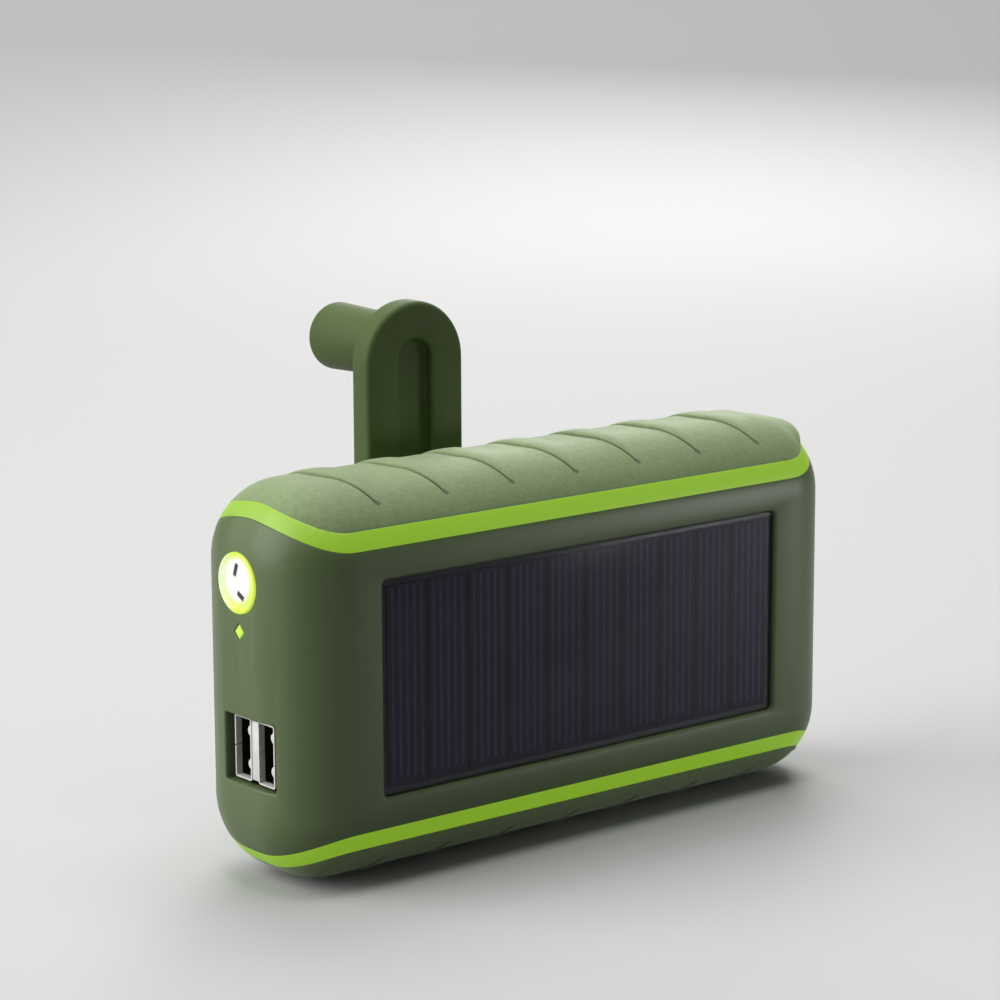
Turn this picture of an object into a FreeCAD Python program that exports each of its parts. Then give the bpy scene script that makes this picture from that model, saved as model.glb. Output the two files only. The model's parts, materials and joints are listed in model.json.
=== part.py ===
import FreeCAD
import Part
import Sketcher
import math
import os
import re

# A hand crank power bank with a solar panel, a torch and two USB-A ports.
# X runs along the case, with the torch and the ports at the -X end.
# -Y is the solar face and +Y the crank side.
# The case stands on the ribs of its lower grip, so +Z is up and Z is 0 at the ribs.
# The origin lies under the middle of the case.

Vector = FreeCAD.Vector
Rotation = FreeCAD.Rotation

TINY = 1e-6
RIB_STEPS = range(-3, 4)
CELL_COUNT = 10

SIZES = {
    # outer form of the case, and its walls
    "body_length": 150.0, "body_depth": 40.0, "body_height": 82.0,
    "section_corner": 16.5, "end_rounding": 15.0, "mid_height": 41.8,
    "wall": 2.2, "core_wall": 2.0, "skin": 2.4, "crown_skin": 1.9, "seam_depth": 13.5,
    # arched borders between the case, the accent bands and the grips
    "arch_radius": 36.3, "arch_drop": 1.7, "band_height": 2.8,
    # ribs of the grips
    "rib_pitch": 17.4, "rib_middle": 1.0, "rib_height": 0.8, "rib_corner": 17.5,
    "rib_width": 39.44,
    "rib_land": 10.5, "rib_slope": 9.5, "rib_tilt": 8.0,
    "rib_edge_radius": 70.0, "rib_edge_shift": 64.75, "rib_edge_back": 13.0,
    # solar panel
    "panel_length": 108.0, "panel_height": 45.0, "panel_recess": 2.4,
    "board_thick": 1.0, "cell_thick": 0.2, "cell_width": 10.3, "cell_pitch": 10.5,
    "cell_height": 42.0, "cover_thick": 0.6, "panel_gap": 0.2,
    "tray_thick": 2.2, "tray_margin": 3.0, "tray_sink": 1.0,
    # how far a cutter reaches past what it cuts
    "past": 1.0,
    # openings through the ends, rails and bosses inside the tub
    "opening_depth": 6.0, "rail_thick": 2.0, "rail_rise": 15.0, "rail_back": 9.0,
    "boss_hole_start": -2.0,
    # torch and indicator
    "torch_side": 0.5, "torch_rise": 21.6, "bezel_radius": 6.3, "bezel_bore": 5.2,
    "torch_depth": 10.5, "tube_wall": 1.5, "tube_start": 1.5, "bezel_proud": 0.4,
    "bezel_depth": 5.0, "lens_inset": 0.2, "lens_thick": 1.4, "cup_depth": 9.0,
    "cup_wall": 0.4, "led_front": 7.4, "led_radius": 1.6, "led_gap": 0.2,
    "indicator_side": 0.2, "indicator_rise": 11.6, "indicator_radius": 1.7,
    "indicator_depth": 4.0, "indicator_proud": 0.2,
    # USB-A ports
    "window_side": -2.5, "window_width": 16.8, "window_rise": -12.75, "window_height": 13.7,
    "port_pitch": 8.0, "port_width": 5.7, "port_height": 13.1, "port_wall": 0.35,
    "port_length": 14.0, "port_inset": 1.4, "tongue_thick": 1.9, "tongue_height": 11.1,
    "tongue_inset": 1.2, "tongue_base": 3.0, "tongue_gap": 0.2, "contact_inset": 1.5,
    "contact_width": 1.0, "contact_pitch": 2.4, "contact_thick": 0.2,
    # circuit board, its parts and screws
    "main_board_front": -13.4, "main_board_thick": 1.6, "main_board_start": -68.0,
    "main_board_end": -29.0, "main_board_rise": 20.2, "standoff_radius": 2.4,
    "board_screw_radius": 1.0, "board_screw_head": 2.2, "board_screw_cap": 1.4,
    "board_screw_reach": 1.8, "standoff_hole": 1.0,
    "capacitor_radius": 3.2, "capacitor_tall": 7.0, "riser_start": 4.0,
    # battery
    "battery_start": 2.0, "battery_end": 58.0, "battery_rise": 20.0,
    "battery_front": -14.9, "battery_thick": 9.9, "battery_corner": 3.0, "pad_margin": 4.0,
    # button and charging socket at the +X end
    "button_radius": 4.2, "button_hole": 4.5, "button_flange": 5.4, "button_rise": 8.0,
    "button_proud": 1.0, "button_back": 71.4, "button_side": 0.0, "button_crown": 0.6,
    "button_flange_thick": 1.1, "socket_rise": -9.0, "socket_width": 7.6,
    "socket_height": 2.9, "socket_front": 74.0, "socket_gap": 0.7, "socket_wall": 0.35,
    "socket_hollow": 5.0, "socket_tongue_width": 4.2, "socket_tongue_thick": 0.7,
    "socket_tongue_shift": 0.3, "socket_tongue_inset": 0.8, "socket_tongue_seat": 0.5,
    "switch_board_back": 64.8, "switch_board_thick": 1.6, "switch_board_width": 16.0,
    "switch_board_height": 34.0, "switch_top": 69.9,
    "switch_plunger": 70.5, "switch_plunger_radius": 1.7, "switch_side": 3.0,
    # crank hub: all its depths are measured along Y
    "hub_across": -13.8, "hub_rise": 13.0, "dish_radius": 14.6, "dish_floor": 13.6,
    "well_floor": 10.7, "well_wall": 1.6, "hub_radius": 14.2, "hub_top": 13.4,
    "hub_bottom": 11.0, "shaft_seat": 1.6, "pin_reach": 8.0, "pin_depth": 20.3,
    "pin_radius": 1.25, "cover_inside": 18.5,
    "lug_inner": 5.0, "lug_outer": 9.0, "lug_radius": 2.8,
    # crank arm
    "arm_front": 20.6, "arm_thick": 6.0, "arm_half": 13.0, "arm_end_rise": 57.6,
    "arm_root_gap": 4.0, "root_half": 4.7, "root_radius": 2.7, "root_below": 2.0,
    "root_above": 3.0, "running_gap": 0.05, "groove_start": 7.0,
    "arm_edge": 1.3, "groove_half": 4.3, "groove_end_rise": 58.2, "groove_depth": 2.2,
    "slot_gap": 0.3, "slot_wall": 1.6,
    # knob
    "knob_rise": 60.2, "post_radius": 3.0, "post_end": 47.1, "knob_start": 26.9,
    "knob_end": 50.8, "knob_root_radius": 6.7, "knob_tip_radius": 7.5,
    "knob_rounding": 2.6, "knob_seat": 47.3, "knob_cap_radius": 4.4,
    "knob_screw_head": 4.1, "knob_screw_reach": 8.5, "post_hole": 9.0, "seat_gap": 0.1,
    "cap_gap": 0.2, "knob_cap_start": 48.8, "pocket_radius": 7.9,
    "pocket_floor": -10.7,
    # gear train
    "gear_module": 0.7, "front_plate_front": -2.6, "front_plate_back": -1.4,
    "rear_plate_front": 7.8, "rear_plate_back": 9.0, "plate_start": -35.5,
    "plate_end": 47.5, "rear_plate_end": 22.0, "plate_low": -11.5, "plate_high": 30.0,
    "notch_gap": 0.6, "shaft_radius": 2.5, "bush_radius": 4.0, "bush_flange": 1.2,
    "bush_flange_thick": 0.3, "axle_radius": 1.0, "spacer_radius": 2.5,
    "drive_front": 4.6, "drive_back": 7.4, "middle_front": 1.8, "middle_back": 4.2,
    "last_front": -0.8, "last_back": 1.4,
    "bracket_front": 3.4, "bracket_back": 4.6, "bracket_start": 26.4, "bracket_low": -2.5,
    "bracket_high": 27.4, "bracket_post": 1.6, "bracket_hole": 4.0,
    "can_radius": 13.0, "can_back": 15.6, "can_wall": 1.0, "winding_outer": 11.6,
    "winding_inner": 8.4, "winding_gap": 1.6, "magnet_radius": 7.6, "magnet_gap": 2.0,
    "rotor_shaft_radius": 1.0, "rotor_shaft_reach": 0.5, "screw_radius": 1.1,
    "screw_head_radius": 2.5, "screw_head": 1.6, "screw_reach": 3.5, "screw_hole_reach": 4.0,
    # screws that close the case
    "case_screw_across": 52.0, "case_screw_rise": 24.0, "case_boss_radius": 3.2,
    "case_screw_radius": 1.3, "case_screw_head_radius": 2.4, "case_screw_head": 1.8,
    "case_screw_sink": 3.0, "case_screw_gap": 0.3, "case_screw_start": 0.0,
}

# Gear teeth of the train, from the crank to the generator.
DRIVE_TEETH, PINION_TEETH, WHEEL_TEETH = 42, 12, 36
PRESSURE_ANGLE = math.radians(25.0)
TOOTH_HEIGHT, TOOTH_DEPTH, TOOTH_PLAY = 0.88, 1.15, 0.10
FLANK_START = 1.0005

# Directions, in degrees from +X towards +Z, from each gear axis to the next.
TRAIN_ANGLES = (-15.0, 15.0, 0.0)

# Places in X and above the middle height.
SPACER_PLACES = ((-32.0, 0.0), (-32.0, 26.0), (4.0, 27.0), (12.0, -8.0))
BRACKET_PLACES = ((36.5, -0.9), (36.5, 25.8), (45.0, 12.45))
STANDOFF_PLACES = ((-64.0, 16.0), (-34.0, 16.0), (-34.0, -16.0))

# Parts on the main board: place in X and above the middle, then length, height and thickness.
BOARD_PARTS = {
    "inductor": (-40.0, -6.0, 7.0, 7.0, 4.5),
    "charge_chip": (-50.0, 4.0, 5.0, 6.0, 1.5),
    "boost_chip": (-40.0, 6.0, 5.0, 5.0, 1.5),
}
CAPACITOR_PLACE = (-34.0, -3.5)
CONTACT_STEPS = (-1.5, -0.5, 0.5, 1.5)

doc = FreeCAD.newDocument("HandCrankPowerBank")
sheet = doc.addObject("Spreadsheet::Sheet", "Sizes")
for row, (word, size) in enumerate(SIZES.items(), 1):
    sheet.set(f"A{row}", word)
    sheet.set(f"B{row}", str(size))
    sheet.setAlias(f"B{row}", word)
doc.recompute()

nodes = []


def node(item, label):
    """Marks a finished sub-part and gives it the label that names its file."""
    item.Label = label
    nodes.append(item)
    return item


def formula(text):
    """A sheet formula from text that names sizes by their plain words."""
    def full(match):
        word = match.group()
        return "Sizes." + word if word in SIZES else word
    return re.sub(r"[a-z_]+", full, str(text))


def bind(item, **formulas):
    """Binds properties of an object to sizes in the sheet."""
    for path, text in formulas.items():
        item.setExpression(path, formula(text))
    return item


def place(item, x="0", y="0", z="0"):
    """Binds an object's place to sizes in the sheet."""
    for letter, text in zip("xyz", (x, y, z)):
        item.setExpression("Placement.Base." + letter, formula(text))
    return item


def height(rise):
    """A height given from the middle of the case."""
    return f"mid_height + ({rise})"


def about(middle, size):
    """The span of a size around a middle."""
    return f"({middle}) - ({size}) / 2", f"({middle}) + ({size}) / 2"


def block(name, x, y, z):
    """A box between two planes along each axis."""
    item = doc.addObject("Part::Box", name)
    for side, (low, high) in zip(("Length", "Width", "Height"), (x, y, z)):
        bind(item, **{side: f"({high}) - ({low})"})
    return place(item, x[0], y[0], z[0])


def stand(item, axis, low, across):
    """Turns a round form to an axis and puts its start at `low` on it."""
    turns = {"X": (Vector(0, 1, 0), 90), "Y": (Vector(1, 0, 0), -90), "Z": (Vector(0, 0, 1), 0)}
    item.Placement = FreeCAD.Placement(Vector(), Rotation(*turns[axis]))
    spots = list(across)
    spots.insert("XYZ".index(axis), low)
    return place(item, *spots)


def rod(name, radius, axis, low, high, across):
    """A round rod from `low` to `high` along an axis, at `across` on the other two."""
    item = doc.addObject("Part::Cylinder", name)
    bind(item, Radius=radius, Height=f"({high}) - ({low})")
    return stand(item, axis, low, across)


def taper(name, start, end, axis, low, high, across):
    """A round form that changes from the radius `start` to `end` along an axis."""
    item = doc.addObject("Part::Cone", name)
    bind(item, Radius1=start, Radius2=end, Height=f"({high}) - ({low})")
    return stand(item, axis, low, across)


def join(name, *items):
    """One solid from several."""
    item = doc.addObject("Part::MultiFuse", name)
    item.Shapes = list(items)
    return item


def overlap(name, *items):
    """What several solids share."""
    item = doc.addObject("Part::MultiCommon", name)
    item.Shapes = list(items)
    return item


def cut(name, base, *tools):
    """A solid less its tools."""
    item = doc.addObject("Part::Cut", name)
    item.Base = base
    item.Tool = tools[0] if len(tools) == 1 else join(name + "_tools", *tools)
    return item


def group(name, items):
    """Several like pieces that share a node and stay separate solids."""
    item = doc.addObject("Part::Compound", name)
    item.Links = list(items)
    return item


def ring(name, outer, inner, axis, low, high, across):
    """A round sleeve."""
    return cut(name, rod(name + "_outside", outer, axis, low, high, across),
               rod(name + "_bore", inner, axis, f"({low}) - past", f"({high}) + past", across))


def edges_where(shape, test):
    """Names of the edges that pass a test."""
    return [f"Edge{count}" for count, edge in enumerate(shape.Edges, 1) if test(edge.BoundBox)]


def sketch_on(body, role, name):
    """A sketch on one of a body's own origin planes."""
    plane = next(item for item in body.Origin.OriginFeatures if item.Role == role)
    sketch = body.newObject("Sketcher::SketchObject", name)
    sketch.AttachmentSupport = [(plane, "")]
    sketch.MapMode = "FlatFace"
    return sketch


def outline(sketch, corners):
    """A closed outline of straight lines in a sketch, with its ends joined."""
    points = [Vector(x, y, 0) for x, y in corners]
    lines = []
    for start, end in zip(points, points[1:] + points[:1]):
        lines.append(sketch.addGeometry(Part.LineSegment(start, end), False))
    for line, following in zip(lines, lines[1:] + lines[:1]):
        sketch.addConstraint(Sketcher.Constraint("Coincident", line, 2, following, 1))
    for line, (start, end) in enumerate(zip(points, points[1:] + points[:1])):
        if abs(start.y - end.y) < TINY:
            sketch.addConstraint(Sketcher.Constraint("Horizontal", line))
        elif abs(start.x - end.x) < TINY:
            sketch.addConstraint(Sketcher.Constraint("Vertical", line))
    return lines


def measure(sketch, kind, places, text, start=1.0):
    """A driving dimension of a sketch, bound to the sheet."""
    count = sketch.addConstraint(Sketcher.Constraint(kind, *places, start))
    sketch.setExpression(f"Constraints[{count}]", formula(text))


def centred_rectangle(sketch, across, up):
    """A rectangle about the sketch's origin."""
    lines = outline(sketch, ((-9, -9), (9, -9), (9, 9), (-9, 9)))
    sketch.addConstraint(Sketcher.Constraint("Symmetric", lines[0], 1, lines[2], 1, -1, 1))
    measure(sketch, "DistanceX", (lines[0], 1, lines[0], 2), across)
    measure(sketch, "DistanceY", (lines[1], 1, lines[1], 2), up)


def feature(body, kind, name, sketch=None, **formulas):
    """A feature of a body, with its sizes bound."""
    item = body.newObject("PartDesign::" + kind, name)
    if sketch is not None:
        item.Profile = sketch
    return bind(item, **formulas)


def rounded(body, name, base, test, radius):
    """Rounds the edges of a body's last feature that pass a test."""
    doc.recompute()
    fillet = feature(body, "Fillet", name, Radius=radius)
    fillet.Base = (base, edges_where(base.Shape, test))
    return fillet


# ---------------------------------------------------------------- case forms

def rounded_form(name, inset="0", crown="0"):
    """A solid with the outer form of the case, drawn `inset` inside its surface.

    Its top and bottom lie `crown` inside those of the case.
    """
    body = doc.addObject("PartDesign::Body", name)
    section = sketch_on(body, "YZ_Plane", name + "_section")
    centred_rectangle(section, f"body_depth - 2 * ({inset})", f"body_height - 2 * ({crown})")
    pad = feature(body, "Pad", name + "_pad", section, Length=f"body_length - 2 * ({inset})")
    pad.SideType = "Symmetric"
    sides = rounded(body, name + "_sides", pad,
                    lambda box: box.YLength < TINY and box.ZLength < TINY,
                    f"section_corner - ({inset})")
    rounded(body, name + "_ends", sides, lambda box: box.XLength < TINY,
            f"end_rounding - ({inset})")
    return place(body, z="mid_height")


def arch_zone(name, rise):
    """The height between the arched borders, `rise` further out at both."""
    ends = ("-body_length", "body_length")
    high = rod(name + "_high", "arch_radius", "X", *ends,
               ("0", f"mid_height - arch_drop + ({rise})"))
    low = rod(name + "_low", "arch_radius", "X", *ends,
              ("0", f"mid_height + arch_drop - ({rise})"))
    return overlap(name, high, low)


outer_form = rounded_form("outer_form")
core_form = rounded_form("core_form", "skin", "crown_skin")
core_hollow = rounded_form("core_hollow", "skin + core_wall", "crown_skin + core_wall")
middle_hollow_form = rounded_form("middle_hollow_form", "wall", "wall")
middle_zone = arch_zone("middle_zone", "0")
trim_arch = rod("trim_arch", "arch_radius", "X", "-body_length", "body_length",
                ("0", "mid_height - arch_drop + band_height"))

LENGTHWAYS = ("-body_length", "body_length")
UPRIGHT = ("-mid_height", "3 * mid_height")
upper_half = block("upper_half", LENGTHWAYS, ("-body_depth", "body_depth"),
                   ("mid_height", "3 * mid_height"))
front_half = block("front_half", LENGTHWAYS, ("-body_depth", "seam_depth"), UPRIGHT)
rear_half = block("rear_half", LENGTHWAYS, ("seam_depth", "body_depth"), UPRIGHT)

middle_hollow = overlap("middle_hollow", middle_hollow_form, arch_zone("hollow_zone", "-wall"))
case_solid = join("case_solid", overlap("case_middle", outer_form, middle_zone), core_form)
case_shell = cut("case_shell", case_solid, core_hollow, middle_hollow)


def torch_rod(name, radius, low, high):
    """A rod on the torch's axis; its ends are depths inside the -X end."""
    return rod(name, radius, "X", f"-body_length / 2 + {low}", f"-body_length / 2 + {high}",
               ("torch_side", height("torch_rise")))


def case_corner_places():
    """Places of the four screws that close the case."""
    for side in "-", "":
        for level in "-", "":
            yield f"{side}case_screw_across", height(f"{level}case_screw_rise")


# ---------------------------------------------------------------- front case

def make_front_case():
    """The tub: solar face, both ends, screw bosses, board standoffs and torch tube."""
    tray_front = "-body_depth / 2 + tray_sink"
    tray_back = "-body_depth / 2 + panel_recess + tray_thick"
    pieces = [
        overlap("front_shell", case_shell, front_half),
        block("panel_tray", about("0", "panel_length + 2 * tray_margin"), (tray_front, tray_back),
              about("mid_height", "panel_height + 2 * tray_margin")),
        torch_rod("torch_tube", "bezel_radius + tube_wall", "tube_start", "torch_depth"),
    ]
    for count, spot in enumerate(case_corner_places()):
        pieces.append(rod(f"case_boss_{count}", "case_boss_radius", "Y", tray_front,
                          "seam_depth", spot))
    for count, (across, rise) in enumerate(STANDOFF_PLACES):
        pieces.append(rod(f"standoff_{count}", "standoff_radius", "Y", tray_front,
                          "main_board_front", (across, height(rise))))
    for count, level in enumerate(("-rail_rise", "rail_rise")):
        pieces.append(block(f"board_rail_{count}",
                            ("switch_board_back - rail_thick", "switch_board_back"),
                            (tray_front, "rail_back"), about(height(level), "rail_thick")))
    holes = [
        block("panel_pocket", about("0", "panel_length"),
              ("-body_depth", "-body_depth / 2 + panel_recess"),
              about("mid_height", "panel_height")),
        block("port_window", ("-body_length", "-body_length / 2 + opening_depth"),
              about("window_side", "window_width"),
              about(height("window_rise"), "window_height")),
        torch_rod("torch_hole", "bezel_radius", "-torch_depth", "torch_depth + past"),
        indicator_form("indicator_hole", "opening_depth"),
        rod("button_opening", "button_hole", "X", "body_length / 2 - opening_depth",
            "body_length", ("button_side", height("button_rise"))),
        block("socket_opening", ("body_length / 2 - opening_depth", "body_length"),
              about("0", "socket_width + 2 * socket_gap"),
              about(height("socket_rise"), "socket_height + 2 * socket_gap")),
    ]
    for count, spot in enumerate(case_corner_places()):
        holes.append(rod(f"case_boss_hole_{count}", "case_screw_radius", "Y",
                         "boss_hole_start", "body_depth", spot))
    for count, (across, rise) in enumerate(STANDOFF_PLACES):
        holes.append(rod(f"standoff_hole_{count}", "board_screw_radius", "Y",
                         "-body_depth / 2 + panel_recess + tray_thick",
                         "main_board_front + standoff_hole", (across, height(rise))))
    return node(cut("front_case", join("front_case_blank", *pieces), *holes), "front_case")


def indicator_form(name, depth):
    """The four-sided form of the charge indicator, set on a corner."""
    prism = doc.addObject("Part::Prism", name)
    prism.Polygon = 4
    bind(prism, Circumradius="indicator_radius", Height=f"({depth}) + indicator_proud")
    return stand(prism, "X", "-body_length / 2 - indicator_proud",
                 ("indicator_side", height("indicator_rise")))


# ---------------------------------------------------------------- back cover

def knob_pocket_place():
    """The stowed knob's place."""
    return "hub_across", height("2 * (hub_rise + pin_reach) - knob_rise")


def slot_form(name, grow, low, high):
    """The plan of the stowed arm with the hub's dish, grown and raised along Y."""
    end_rise = height("2 * (hub_rise + pin_reach) - arm_end_rise")
    return join(
        name,
        rod(name + "_dish", f"dish_radius + ({grow})", "Y", low, high,
            ("hub_across", height("hub_rise"))),
        block(name + "_lane", about("hub_across", f"2 * (arm_half + slot_gap + ({grow}))"),
              (low, high), (end_rise, height("hub_rise"))),
        rod(name + "_end", f"arm_half + slot_gap + ({grow})", "Y", low, high,
            ("hub_across", end_rise)))


def make_back_cover():
    """The lid: a recess that takes the stowed arm, the hub's well and the knob's pocket."""
    hub_spot = ("hub_across", height("hub_rise"))
    knob_spot = knob_pocket_place()
    pieces = [
        overlap("rear_shell", case_shell, rear_half),
        overlap("slot_liner", case_solid,
                slot_form("slot_wall_form", "slot_wall", "dish_floor - slot_wall", "cover_inside")),
        rod("well_liner", "dish_radius + well_wall", "Y", "well_floor - well_wall",
            "cover_inside", hub_spot),
        rod("pocket_liner", "pocket_radius + well_wall", "Y", "pocket_floor - well_wall",
            "dish_floor", knob_spot),
    ]
    for count, spot in enumerate(case_corner_places()):
        pieces.append(rod(f"screw_pillar_{count}", "case_boss_radius", "Y", "seam_depth",
                          "cover_inside", spot))
    for count, (across, rise) in enumerate(SPACER_PLACES):
        pieces.append(rod(f"gearbox_pillar_{count}", "spacer_radius", "Y", "rear_plate_back",
                          "cover_inside", (across, height(rise))))
    holes = [
        slot_form("arm_recess", "0", "dish_floor", "body_depth"),
        rod("hub_well", "dish_radius", "Y", "well_floor", "body_depth", hub_spot),
        rod("bush_hole", "bush_radius", "Y", "0", "body_depth", hub_spot),
        rod("knob_pocket", "pocket_radius", "Y", "pocket_floor", "body_depth", knob_spot),
    ]
    for count, spot in enumerate(case_corner_places()):
        holes.append(rod(f"cover_screw_hole_{count}", "case_screw_radius", "Y", "0",
                         "body_depth", spot))
        holes.append(rod(f"cover_screw_sink_{count}",
                         "case_screw_head_radius + case_screw_gap", "Y",
                         "body_depth / 2 - case_screw_sink", "body_depth", spot))
    for count, (across, rise) in enumerate(SPACER_PLACES):
        holes.append(rod(f"gearbox_pillar_hole_{count}", "screw_radius", "Y", "0",
                         "rear_plate_back + screw_hole_reach", (across, height(rise))))
    return node(cut("back_cover", join("back_cover_blank", *pieces), *holes), "back_cover")


# ---------------------------------------------------------------- grips and accent bands

def rounded_rectangle(sketch, across, up, corner):
    """A rectangle about the sketch's origin, with round corners.

    It is first drawn as a square with sides of `2 * half`, and its dimensions then shape it.
    """
    half, quarter = 20.0, math.pi / 2
    lines, arcs = [], []
    for turn in range(4):
        ahead = Vector(math.cos(turn * quarter), math.sin(turn * quarter), 0)
        aside = Vector(-ahead.y, ahead.x, 0)
        lines.append(sketch.addGeometry(Part.LineSegment(
            ahead * half - aside * half / 2, ahead * half + aside * half / 2), False))
        bend = Part.Circle((ahead + aside) * half / 2, Vector(0, 0, 1), half / 2)
        arcs.append(sketch.addGeometry(Part.ArcOfCircle(
            bend, turn * quarter, (turn + 1) * quarter), False))
    for turn, (line, arc) in enumerate(zip(lines, arcs)):
        sketch.addConstraint(Sketcher.Constraint("Tangent", line, 2, arc, 1))
        sketch.addConstraint(Sketcher.Constraint("Tangent", arc, 2, lines[(turn + 1) % 4], 1))
        sketch.addConstraint(Sketcher.Constraint("Horizontal" if turn % 2 else "Vertical", line))
    for arc in arcs[1:]:
        sketch.addConstraint(Sketcher.Constraint("Equal", arcs[0], arc))
    sketch.addConstraint(Sketcher.Constraint("Symmetric", lines[0], 1, lines[2], 1, -1, 1))
    measure(sketch, "Radius", (arcs[0],), corner, half / 2)
    measure(sketch, "DistanceX", (lines[2], 1, lines[0], 1), across, 2 * half)
    measure(sketch, "DistanceY", (lines[3], 1, lines[1], 1), up, 2 * half)


def make_rib():
    """One rib of a grip: a curved leading edge, a short land and a gentle fall.

    It is built for a rib whose front end lies at X = 0. Its section is rounder than
    that of the case, so the rib fades out towards the front and the back.
    """
    body = doc.addObject("PartDesign::Body", "rib_form")
    section = sketch_on(body, "YZ_Plane", "rib_section")
    rounded_rectangle(section, "rib_width", "body_height + 2 * rib_height", "rib_corner")
    land = feature(body, "Pad", "rib_land_pad", section, Length="rib_land")
    land.Reversed = True
    fall = feature(body, "Pad", "rib_fall_pad", section, Length="rib_slope",
                   TaperAngle="-rib_tilt")
    body.Tip = fall
    place(body, z="mid_height")
    leading_edge = rod("rib_leading_edge", "rib_edge_radius", "Z", "mid_height",
                       "2 * body_height", ("rib_edge_shift", "rib_edge_back"))
    return overlap("rib", body, leading_edge)


def repeated(name, source, x):
    """The same solid again, at another place along X."""
    item = doc.addObject("App::Link", name)
    item.LinkedObject = source
    return place(item, x)


def mirrored(name, source):
    """The same solid below the middle height."""
    item = doc.addObject("Part::Mirroring", name)
    item.Source = source
    item.Normal = Vector(0, 0, 1)
    return bind(item, **{"Base.z": "mid_height"})


def make_grips_and_bands():
    """Rubber grips over both long sides and the lime bands along their borders."""
    upper_trim = overlap("upper_trim", cut("trim_skin", outer_form, core_form), upper_half)
    rib = make_rib()
    ribs = [repeated(f"rib_{count}", rib, f"rib_middle + ({count}) * rib_pitch")
            for count in RIB_STEPS]
    ribbed = join("ribbed_skin", upper_trim, *[
        cut(f"rib_{count}_shell", item, core_form) for count, item in enumerate(ribs)])
    top_grip = cut("top_grip", ribbed, trim_arch)
    top_band = cut("top_accent_band", overlap("band_blank", upper_trim, trim_arch), middle_zone)
    node(top_grip, "top_grip")
    node(mirrored("bottom_grip", top_grip), "bottom_grip")
    node(top_band, "top_accent_band")
    node(mirrored("bottom_accent_band", top_band), "bottom_accent_band")


# ---------------------------------------------------------------- solar panel

def make_solar_panel():
    """Circuit board, ten cells and clear cover, in the recess of the solar face."""
    floor = "-body_depth / 2 + panel_recess"
    board_front = f"{floor} - board_thick"
    cell_front = f"{board_front} - cell_thick"
    length = "panel_length - 2 * panel_gap"
    tall = "panel_height - 2 * panel_gap"
    node(block("solar_board", about("0", length), (board_front, floor),
               about("mid_height", tall)), "solar_board")
    cells = []
    for count in range(CELL_COUNT):
        middle = f"({count} - {(CELL_COUNT - 1) / 2}) * cell_pitch"
        cells.append(block(f"cell_{count}", about(middle, "cell_width"),
                           (cell_front, board_front), about("mid_height", "cell_height")))
    node(group("solar_cells", cells), "solar_cells")
    node(block("solar_cover", about("0", length), (f"{cell_front} - cover_thick", cell_front),
               about("mid_height", tall)), "solar_cover")


# ---------------------------------------------------------------- torch and indicator

def make_torch():
    """Bezel, lens, reflector and light source, in the tube of the front case."""
    lens_back = "lens_inset + lens_thick"
    bezel = cut("torch_bezel",
                torch_rod("bezel_outside", "bezel_radius", "-bezel_proud", "bezel_depth"),
                torch_rod("bezel_bore", "bezel_bore", "-bezel_proud - past",
                          "bezel_depth + past"))
    node(bezel, "torch_bezel")
    node(torch_rod("torch_lens", "bezel_bore", "lens_inset", lens_back), "torch_lens")
    cup = torch_rod("cup_outside", "bezel_bore", lens_back, "cup_depth")
    hollow = taper("cup_hollow", "bezel_bore - cup_wall", "led_radius + led_gap", "X",
                   f"-body_length / 2 + {lens_back}", "-body_length / 2 + cup_depth",
                   ("torch_side", height("torch_rise")))
    node(cut("torch_reflector", cup, hollow), "torch_reflector")
    stem = torch_rod("led_stem", "led_radius", "led_front", "cup_depth")
    star = torch_rod("led_star", "bezel_radius", "cup_depth", "torch_depth")
    node(join("torch_led", stem, star), "torch_led")
    node(indicator_form("indicator_lens", "indicator_depth"), "indicator_lens")


# ---------------------------------------------------------------- ports and boards

def port_places():
    """The places of the two ports across the -X end."""
    for side in "-", "+":
        yield f"window_side {side} port_pitch / 2"


def make_ports():
    """Metal shells, tongues and contacts of the two USB-A ports, standing on edge."""
    mouth = "-body_length / 2 + port_inset"
    back = f"{mouth} + port_length"
    middle = height("window_rise")
    shells, tongues, contacts = [], [], []
    for count, side in enumerate(port_places()):
        outside = block(f"shell_outside_{count}", (mouth, back), about(side, "port_width"),
                        about(middle, "port_height"))
        inside = block(f"shell_inside_{count}", (f"{mouth} - past", f"{back} + past"),
                       about(side, "port_width - 2 * port_wall"),
                       about(middle, "port_height - 2 * port_wall"))
        shells.append(cut(f"port_shell_{count}", outside, inside))
        tongue_face = f"{side} - port_width / 2 + port_wall + tongue_thick"
        base = block(f"tongue_base_{count}", (f"{back} - tongue_base", back),
                     about(side, "port_width - 2 * port_wall"),
                     about(middle, "port_height - 2 * port_wall"))
        blade = block(f"tongue_blade_{count}", (f"{mouth} + tongue_inset", back),
                      (f"{tongue_face} - tongue_thick + tongue_gap", tongue_face),
                      about(middle, "tongue_height"))
        tongues.append(join(f"port_tongue_{count}", base, blade))
        for step in CONTACT_STEPS:
            contacts.append(block(f"contact_{count}_{len(contacts)}",
                                  (f"{mouth} + tongue_inset + contact_inset",
                                   f"{back} - tongue_base"),
                                  (tongue_face, f"{tongue_face} + contact_thick"),
                                  about(f"{middle} + {step} * contact_pitch",
                                        "contact_width")))
    node(group("usb_shells", shells), "usb_shells")
    node(group("usb_tongues", tongues), "usb_tongues")
    node(group("usb_contacts", contacts), "usb_contacts")


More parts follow.
